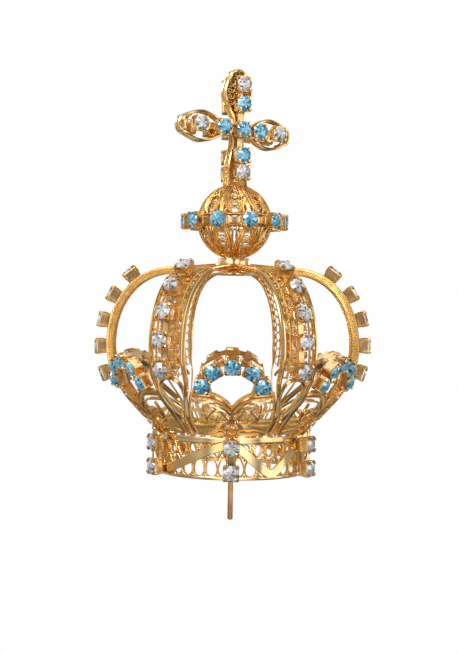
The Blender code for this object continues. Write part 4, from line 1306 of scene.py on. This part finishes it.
@dataclass
class Cross:
    """The cross: leaf shaped arms of ribbon on edge, with stones on both faces."""

    outline: CageOutline
    orb: Orb
    turn: float = math.radians(27.0)
    droop: float = math.radians(-3.0)
    depth: float = 2.2 * MM
    right_arm: float = 11.9 * MM
    top_arm: float = 12.1 * MM
    left_arm: float = 13.1 * MM
    foot: float = 10.4 * MM
    neck: float = 1.2 * MM
    upright: tuple[float, ...] = (-8.5, -5.1, 0.0, 5.0, 8.9)
    right: tuple[float, float] = (3.7, 8.1)
    left: tuple[float, float] = (4.2, 9.3)

    @property
    def centre(self) -> float:
        """Give the height of the arms' crossing."""
        return self.orb.centre + self.orb.radius + self.outline.gap + self.foot

    def lay(self, across: np.ndarray, along: np.ndarray, up: np.ndarray) -> np.ndarray:
        """Lay a drawing on the cross's middle plane: across, upright and out of the front."""
        side, face = sideways(self.turn), direction(self.turn)
        return (side * across[..., None] + face * up[..., None]
                + UP * (self.centre + along)[..., None])

    def half_width(self, share: np.ndarray) -> np.ndarray:
        """Give a leaf's half width at a share of its arm: slim, then full, then a rounded tip."""
        places = (0.0, 0.12, 0.24, 0.34, 0.45, 0.56, 0.66, 0.76, 0.85, 0.93, 1.0)
        widths = (1.05, 1.05, 1.25, 1.95, 2.75, 3.12, 3.10, 2.75, 2.20, 1.62, 1.05)
        return np.interp(share, places, widths) * MM

    def leaf_path(self, angle: float, reach: float, inset: float) -> np.ndarray:
        """Draw a leaf arm, open at the crossing, as one run round its tip."""
        share = np.linspace((self.neck * 0.8 + inset) / reach, 0.90, 22)
        half = self.half_width(share) - inset
        kernel = np.ones(3) / 3.0
        half[1:-1] = np.convolve(half, kernel, "valid")
        swing = np.linspace(math.pi / 2.0, -math.pi / 2.0, 13)[1:-1]
        tip = np.stack([reach * 0.90 + np.cos(swing) * (reach * 0.10 - inset),
                        np.sin(swing) * half[-1]], axis=-1)
        upper = np.stack([share * reach, half], axis=-1)
        return turned(np.concatenate([upper, tip, upper[::-1] * np.array([1.0, -1.0])]), angle)

    def dress(self, finishes: Finishes) -> None:
        """Build the frame and both faces' stones."""
        mesh = Mesh("cross_frame")
        half = self.depth / 2.0
        arms = ((self.droop, self.right_arm), (math.pi / 2.0, self.top_arm),
                (math.pi + self.droop, self.left_arm))
        for angle, reach in arms:
            rim = self.leaf_path(angle, reach, 0.28 * MM)
            across, along = rim[:, 0], rim[:, 1]
            for level in (-half + 0.28 * MM, half - 0.28 * MM):
                wire = self.lay(across, along, np.full(len(rim), level))
                round_wires(mesh, wire[None], 0.28 * MM, 8, finish=POLISHED)
            lay_wires(mesh, self.lay, rim[None], 0.22 * MM, -half + 0.35 * MM, half - 0.35 * MM)
            self.arm_fill(mesh, angle, reach, half)
        self.shaft(mesh, half)
        own(mesh.piece([finishes.granules, finishes.polished]), "cross")
        for node, front in (("cross_front_stones", 1.0), ("cross_back_stones", -1.0)):
            self.stones(node, front, finishes)

    def arm_fill(self, mesh: Mesh, angle: float, reach: float, half: float) -> None:
        """Wall off the tip of an arm and fill its cells; the top arm is filled all over."""
        bow = np.linspace(-1.0, 1.0, 11)
        upper = math.cos(angle) < 0.1 and math.sin(angle) > 0.9
        wall = np.stack([reach - (2.9 - 1.3 * (1.0 - bow ** 2)) * MM, bow * 2.05 * MM], axis=-1)
        lay_wires(mesh, self.lay, turned(wall, angle)[None], 0.34 * MM, -0.35 * MM, half - 0.25 * MM,
                  finish=POLISHED)
        cell = spiral(1.0, 0.42 * MM, 0.42 * MM, 17)[:-1] + np.array([reach - 0.98 * MM, 0.0])
        lay_wires(mesh, self.lay, turned(cell, angle)[None], 0.24 * MM, -0.30 * MM, half - 0.40 * MM,
                  loop=True)
        coils = [(4.2, 0.0, 0.62), (3.1, 0.0, 0.50)]
        if upper:
            coils += [(row, aside, 0.60) for row in (5.4, 6.6, 7.8, 9.0)
                      for aside in (-1.75, -0.6, 0.6, 1.75)]
        for number, (along, aside, radius) in enumerate(coils):
            coil = spiral(1.7, 0.12 * MM, radius * MM, 24) * np.array([1.0, 1.0 if number % 2 else -1.0])
            place = coil + np.array([along * MM, aside * MM])
            lay_wires(mesh, self.lay, turned(place, angle)[None], 0.20 * MM, -0.30 * MM, half - 0.35 * MM)
        if upper:
            self.top_floor(mesh, angle, reach)

    def top_floor(self, mesh: Mesh, angle: float, reach: float) -> None:
        """Close the top arm with a floor and scatter grains over it."""
        floor = self.leaf_path(angle, reach, 0.6 * MM)
        middle = floor.mean(axis=0)
        rings = [self.lay(*(middle + (floor - middle) * grow).T, np.full(len(floor), level * MM))
                 for grow, level in ((0.02, -0.42), (1.0, -0.42), (1.0, -0.20), (0.02, -0.20))]
        mesh.shell(np.stack(rings)[:, ::-1])
        rows, sides = np.linspace(4.6, 11.0, 16), np.linspace(-2.1, 2.1, 9)
        spots = np.stack(np.meshgrid(rows, sides, indexing="ij"), axis=-1).reshape(-1, 2) * MM
        spots[:, 1] += 0.12 * MM * np.sin(np.arange(len(spots)) * 2.4)
        inside = np.abs(spots[:, 1]) < self.half_width(spots[:, 0] / reach) - 0.5 * MM
        spots = turned(spots[inside], angle)
        lift = (0.02 + 0.10 * np.sin(np.arange(len(spots)) * 1.7)) * MM
        beads(mesh, self.lay(spots[:, 0], spots[:, 1], lift), 0.22 * MM)

    def shaft(self, mesh: Mesh, half: float) -> None:
        """Run the shaft down to the orb: ribbons at its corners, a web between and a flared foot."""
        way = np.linspace(0.0, 1.0, 26)
        along = -self.neck * 0.3 - (self.foot - self.neck * 0.3 + 0.60 * MM) * way
        places, halves = (0.0, 0.22, 0.42, 0.62, 0.82, 1.0), (1.02, 1.02, 1.50, 1.95, 1.95, 2.20)
        spread = np.interp(way, places, halves) * MM
        for sign in (-1.0, 1.0):
            for level in (-half + 0.20 * MM, half - 0.20 * MM):
                edge = self.lay(sign * spread, along, np.full(len(way), level))
                round_wires(mesh, edge[None], 0.20 * MM, 8, finish=POLISHED)
            lay_wires(mesh, self.lay, np.stack([sign * spread, along], axis=-1)[None], 0.30 * MM,
                      -half + 0.3 * MM, half - 0.3 * MM)
            self.side_scrolls(mesh, sign, spread, along)
        for level in (-0.5 * MM, 0.5 * MM):
            web = np.stack([spread - 0.2 * MM, along], axis=-1)
            rings = [self.lay(side * web[:, 0], web[:, 1], np.full(len(way), level + thick * MM))
                     for side, thick in ((-1.0, -0.1), (1.0, -0.1), (1.0, 0.1), (-1.0, 0.1))]
            mesh.bars(np.stack(rings, axis=1)[None])
        for number, place in enumerate(np.linspace(0.10, 0.94, 10)):
            coil = spiral(1.6, 0.1 * MM, 0.52 * MM, 22) * np.array([1.0 if number % 2 else -1.0, 1.0])
            centre = np.array([0.0, -self.neck * 0.3 - self.foot * 0.97 * place])
            lay_wires(mesh, self.lay, (coil + centre)[None], 0.22 * MM, -half + 0.3 * MM, half - 0.3 * MM)
        hub = spiral(1.0, self.neck * 0.98, self.neck * 0.98, 20)[:-1]
        lay_wires(mesh, self.lay, hub[None], 0.4 * MM, -half + 0.1 * MM, half - 0.1 * MM, loop=True,
                  finish=POLISHED)
        beads(mesh, self.lay(np.zeros(1), np.zeros(1), np.zeros(1)), 0.95 * MM)

    def side_scrolls(self, mesh: Mesh, sign: float, spread: np.ndarray, along: np.ndarray) -> None:
        """Curl wire down one side wall of the shaft."""
        for number, place in enumerate(np.linspace(0.12, 0.92, 9)):
            at = place * (len(along) - 1)
            centre = np.interp(at, np.arange(len(along)), along)
            out = np.interp(at, np.arange(len(along)), spread) + 0.16 * MM
            coil = spiral(1.4, 0.10 * MM, 0.46 * MM, 20) * np.array([1.0 if number % 2 else -1.0, 1.0])
            wire = self.lay(np.full(20, sign * out), coil[:, 1] + centre, coil[:, 0])
            round_wires(mesh, wire[None], 0.17 * MM, 6)
            beads(mesh, self.lay(np.full(2, sign * out), np.full(2, centre - 0.52 * MM),
                                 np.array([-0.38, 0.38]) * MM), 0.24 * MM)

    def stones(self, node: str, front: float, finishes: Finishes) -> None:
        """Set nine stones on one face: the outer ones clear, the inner ones blue."""
        face = direction(self.turn) * front
        level = front * (self.depth / 2.0 + self.outline.gap)
        seats = []
        places = [(90.0, distance) for distance in self.upright]
        places += [(0.0, distance) for distance in self.right]
        places += [(180.0, distance) for distance in self.left]
        for angle, distance in places:
            blue = abs(distance) < 6.0
            way = math.radians(angle) + (0.0 if angle == 90.0 else self.droop)
            reach = np.array([math.cos(way), math.sin(way)])
            spot = reach * distance * MM
            place = self.lay(np.array(spot[0]), np.array(spot[1]), np.array(level))
            run = sideways(self.turn) * reach[0] + UP * reach[1]
            seats.append(Seat(place, run, face, blue))
        StoneSettings().dress(node, seats, finishes, chains=[[0, 1, 2, 3, 4], [5, 6], [7, 8]])


@dataclass
class Fixing:
    """The pin under the band and the bridge that carries it."""

    radius: float = 0.55 * MM
    root_radius: float = 1.0 * MM
    length: float = 9.9 * MM
    root_z: float = 0.15 * MM

    def dress(self, finishes: Finishes) -> None:
        """Build the pin with its flared root and worn end, and polish the bridge."""
        turn = ring_angles(28)
        profile = ((0.02 * MM, self.root_z), (self.root_radius * 0.9, self.root_z),
                   (self.root_radius, self.root_z - 0.15 * MM), (self.root_radius * 0.8, -0.55 * MM),
                   (self.radius * 1.08, -1.3 * MM), (self.radius, -2.0 * MM),
                   (self.radius * 0.97, -5.0 * MM),
                   (self.radius, -self.length + 0.3 * MM), (self.radius * 0.8, -self.length + 0.06 * MM),
                   (self.radius * 0.6, -self.length), (0.02 * MM, -self.length))
        rings = [direction(turn) * size + UP * z for size, z in profile]
        mesh = Mesh("fixing_pin_turned")
        mesh.shell(np.stack(rings)[:, ::-1])
        own(mesh.piece([finishes.pin], sharp=50.0), "fixing_pin")
        bridge = bpy.data.objects.get("pin_bridge")
        for slot in bridge.material_slots:
            slot.material = finishes.polished


@dataclass
class Studio:
    """The banded sky, the plain white behind the crown, the soft lights and the camera."""

    aim: tuple[float, float, float] = (-0.8 * MM, 0.0, 28.7 * MM)
    distance: float = 256.0 * MM
    elevation: float = math.radians(1.3)
    roll: float = math.radians(0.9)
    lens: float = 70.5
    sensor: float = 36.0
    lamps: tuple[tuple[str, tuple[float, float, float], float, float], ...] = (
        ("key", (-0.40, -0.50, 0.45), 0.30, 3.2), ("fill", (0.75, -0.35, 0.10), 0.60, 1.2),
        ("top", (0.05, 0.10, 0.70), 0.35, 0.5), ("back_left", (-0.50, 0.45, 0.20), 0.25, 0.1),
        ("back_right", (0.50, 0.50, 0.10), 0.25, 0.4))
    bands: tuple[tuple[float, float], ...] = ((0.30, 0.50), (0.40, 1.40), (0.49, 0.85), (0.56, 1.10),
                                              (0.70, 1.75), (0.84, 0.50))
    sides: tuple[tuple[float, float], ...] = ((0.14, 0.55), (0.22, 0.30), (0.30, 1.20), (0.39, 1.60),
                                              (0.43, 0.22), (0.565, 0.22), (0.61, 1.70), (0.72, 1.20),
                                              (0.82, 0.25))

    def camera(self) -> None:
        """Place the camera at the photograph's angle, from the front and a little above."""
        data = bpy.data.cameras.new("camera")
        data.lens = self.lens
        data.sensor_width = self.sensor
        data.clip_start = 0.01
        data.clip_end = 20.0
        camera = bpy.data.objects.new("camera", data)
        lift, away = math.sin(self.elevation) * self.distance, math.cos(self.elevation) * self.distance
        camera.location = (self.aim[0], self.aim[1] - away, self.aim[2] + lift)
        camera.rotation_mode = "XYZ"
        turn = Matrix.Rotation(math.pi / 2.0 - self.elevation, 4, "X") @ Matrix.Rotation(self.roll, 4, "Z")
        camera.rotation_euler = turn.to_euler()
        bpy.context.scene.collection.objects.link(camera)
        bpy.context.scene.camera = camera

    def light(self, name: str, place: tuple[float, float, float], size: float, power: float) -> None:
        """Hang a soft square light that faces the crown."""
        data = bpy.data.lights.new(name, "AREA")
        data.size = size
        data.energy = power
        lamp = bpy.data.objects.new(name, data)
        lamp.location = place
        aim = Vector(self.aim) - Vector(place)
        lamp.rotation_euler = aim.to_track_quat("-Z", "Y").to_euler()
        bpy.context.scene.collection.objects.link(lamp)

    def build(self) -> None:
        """Set the camera, the lights and the sky."""
        self.camera()
        for name, place, size, power in self.lamps:
            self.light(name, place, size, power)
        self.sky()
        bpy.context.scene.view_settings.view_transform = "Standard"

    def steps(self, ramp: bpy.types.Node, first: float, last: float,
              places: tuple[tuple[float, float], ...]) -> None:
        """Set a ramp's grey levels at its ends and between them."""
        low, high = ramp.color_ramp.elements
        low.position, low.color = 0.0, grey(first)
        high.position, high.color = 1.0, grey(last)
        for position, level in places:
            ramp.color_ramp.elements.new(position).color = grey(level)

    def sky(self) -> None:
        """Light the crown from a banded studio sky, and show plain white behind it."""
        world = bpy.context.scene.world or bpy.data.worlds.new("sky")
        bpy.context.scene.world = world
        world.use_nodes = True
        nodes, links = world.node_tree.nodes, world.node_tree.links
        studio = nodes["Background"]
        output = nodes["World Output"]
        place = nodes.new("ShaderNodeTexCoord")
        split = nodes.new("ShaderNodeSeparateXYZ")
        height = nodes.new("ShaderNodeMapRange")
        height.inputs["From Min"].default_value = -1.0
        ramp = nodes.new("ShaderNodeValToRGB")
        links.new(place.outputs["Generated"], split.inputs["Vector"])
        links.new(split.outputs["Z"], height.inputs["Value"])
        links.new(height.outputs["Result"], ramp.inputs["Fac"])
        self.steps(ramp, 0.30, 0.35, self.bands)
        aside = nodes.new("ShaderNodeMapRange")
        aside.inputs["From Min"].default_value = -1.0
        dim = nodes.new("ShaderNodeValToRGB")
        links.new(split.outputs["X"], aside.inputs["Value"])
        links.new(aside.outputs["Result"], dim.inputs["Fac"])
        self.steps(dim, 0.30, 0.35, self.sides)
        blend = nodes.new("ShaderNodeMix")
        blend.data_type = "RGBA"
        blend.blend_type = "MULTIPLY"
        blend.inputs["Factor"].default_value = 1.0
        links.new(ramp.outputs["Color"], blend.inputs["A"])
        links.new(dim.outputs["Color"], blend.inputs["B"])
        links.new(blend.outputs["Result"], studio.inputs["Color"])
        plain = nodes.new("ShaderNodeBackground")
        plain.inputs["Color"].default_value = grey(1.0)
        path = nodes.new("ShaderNodeLightPath")
        mix = nodes.new("ShaderNodeMixShader")
        links.new(path.outputs["Is Camera Ray"], mix.inputs["Fac"])
        links.new(studio.outputs["Background"], mix.inputs[1])
        links.new(plain.outputs["Background"], mix.inputs[2])
        links.new(mix.outputs["Shader"], output.inputs["Surface"])


def main() -> None:
    """Load the frame, dress every node, set the studio and finish."""
    logging.basicConfig(level=logging.INFO, format="%(name)s: %(message)s")
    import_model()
    studio = Studio()
    studio.build()
    finishes = Finishes()
    outline = CageOutline()
    Band(outline).dress(finishes)
    for number in range(1, SIDES + 1):
        arch = Arch(outline, number)
        arch.dress(finishes)
        Fleuron(outline, arch, number).dress(finishes)
    orb = Orb(outline)
    orb.dress(finishes)
    Cross(outline, orb).dress(finishes)
    Fixing().dress(finishes)


if __name__ == "__main__":
    main()
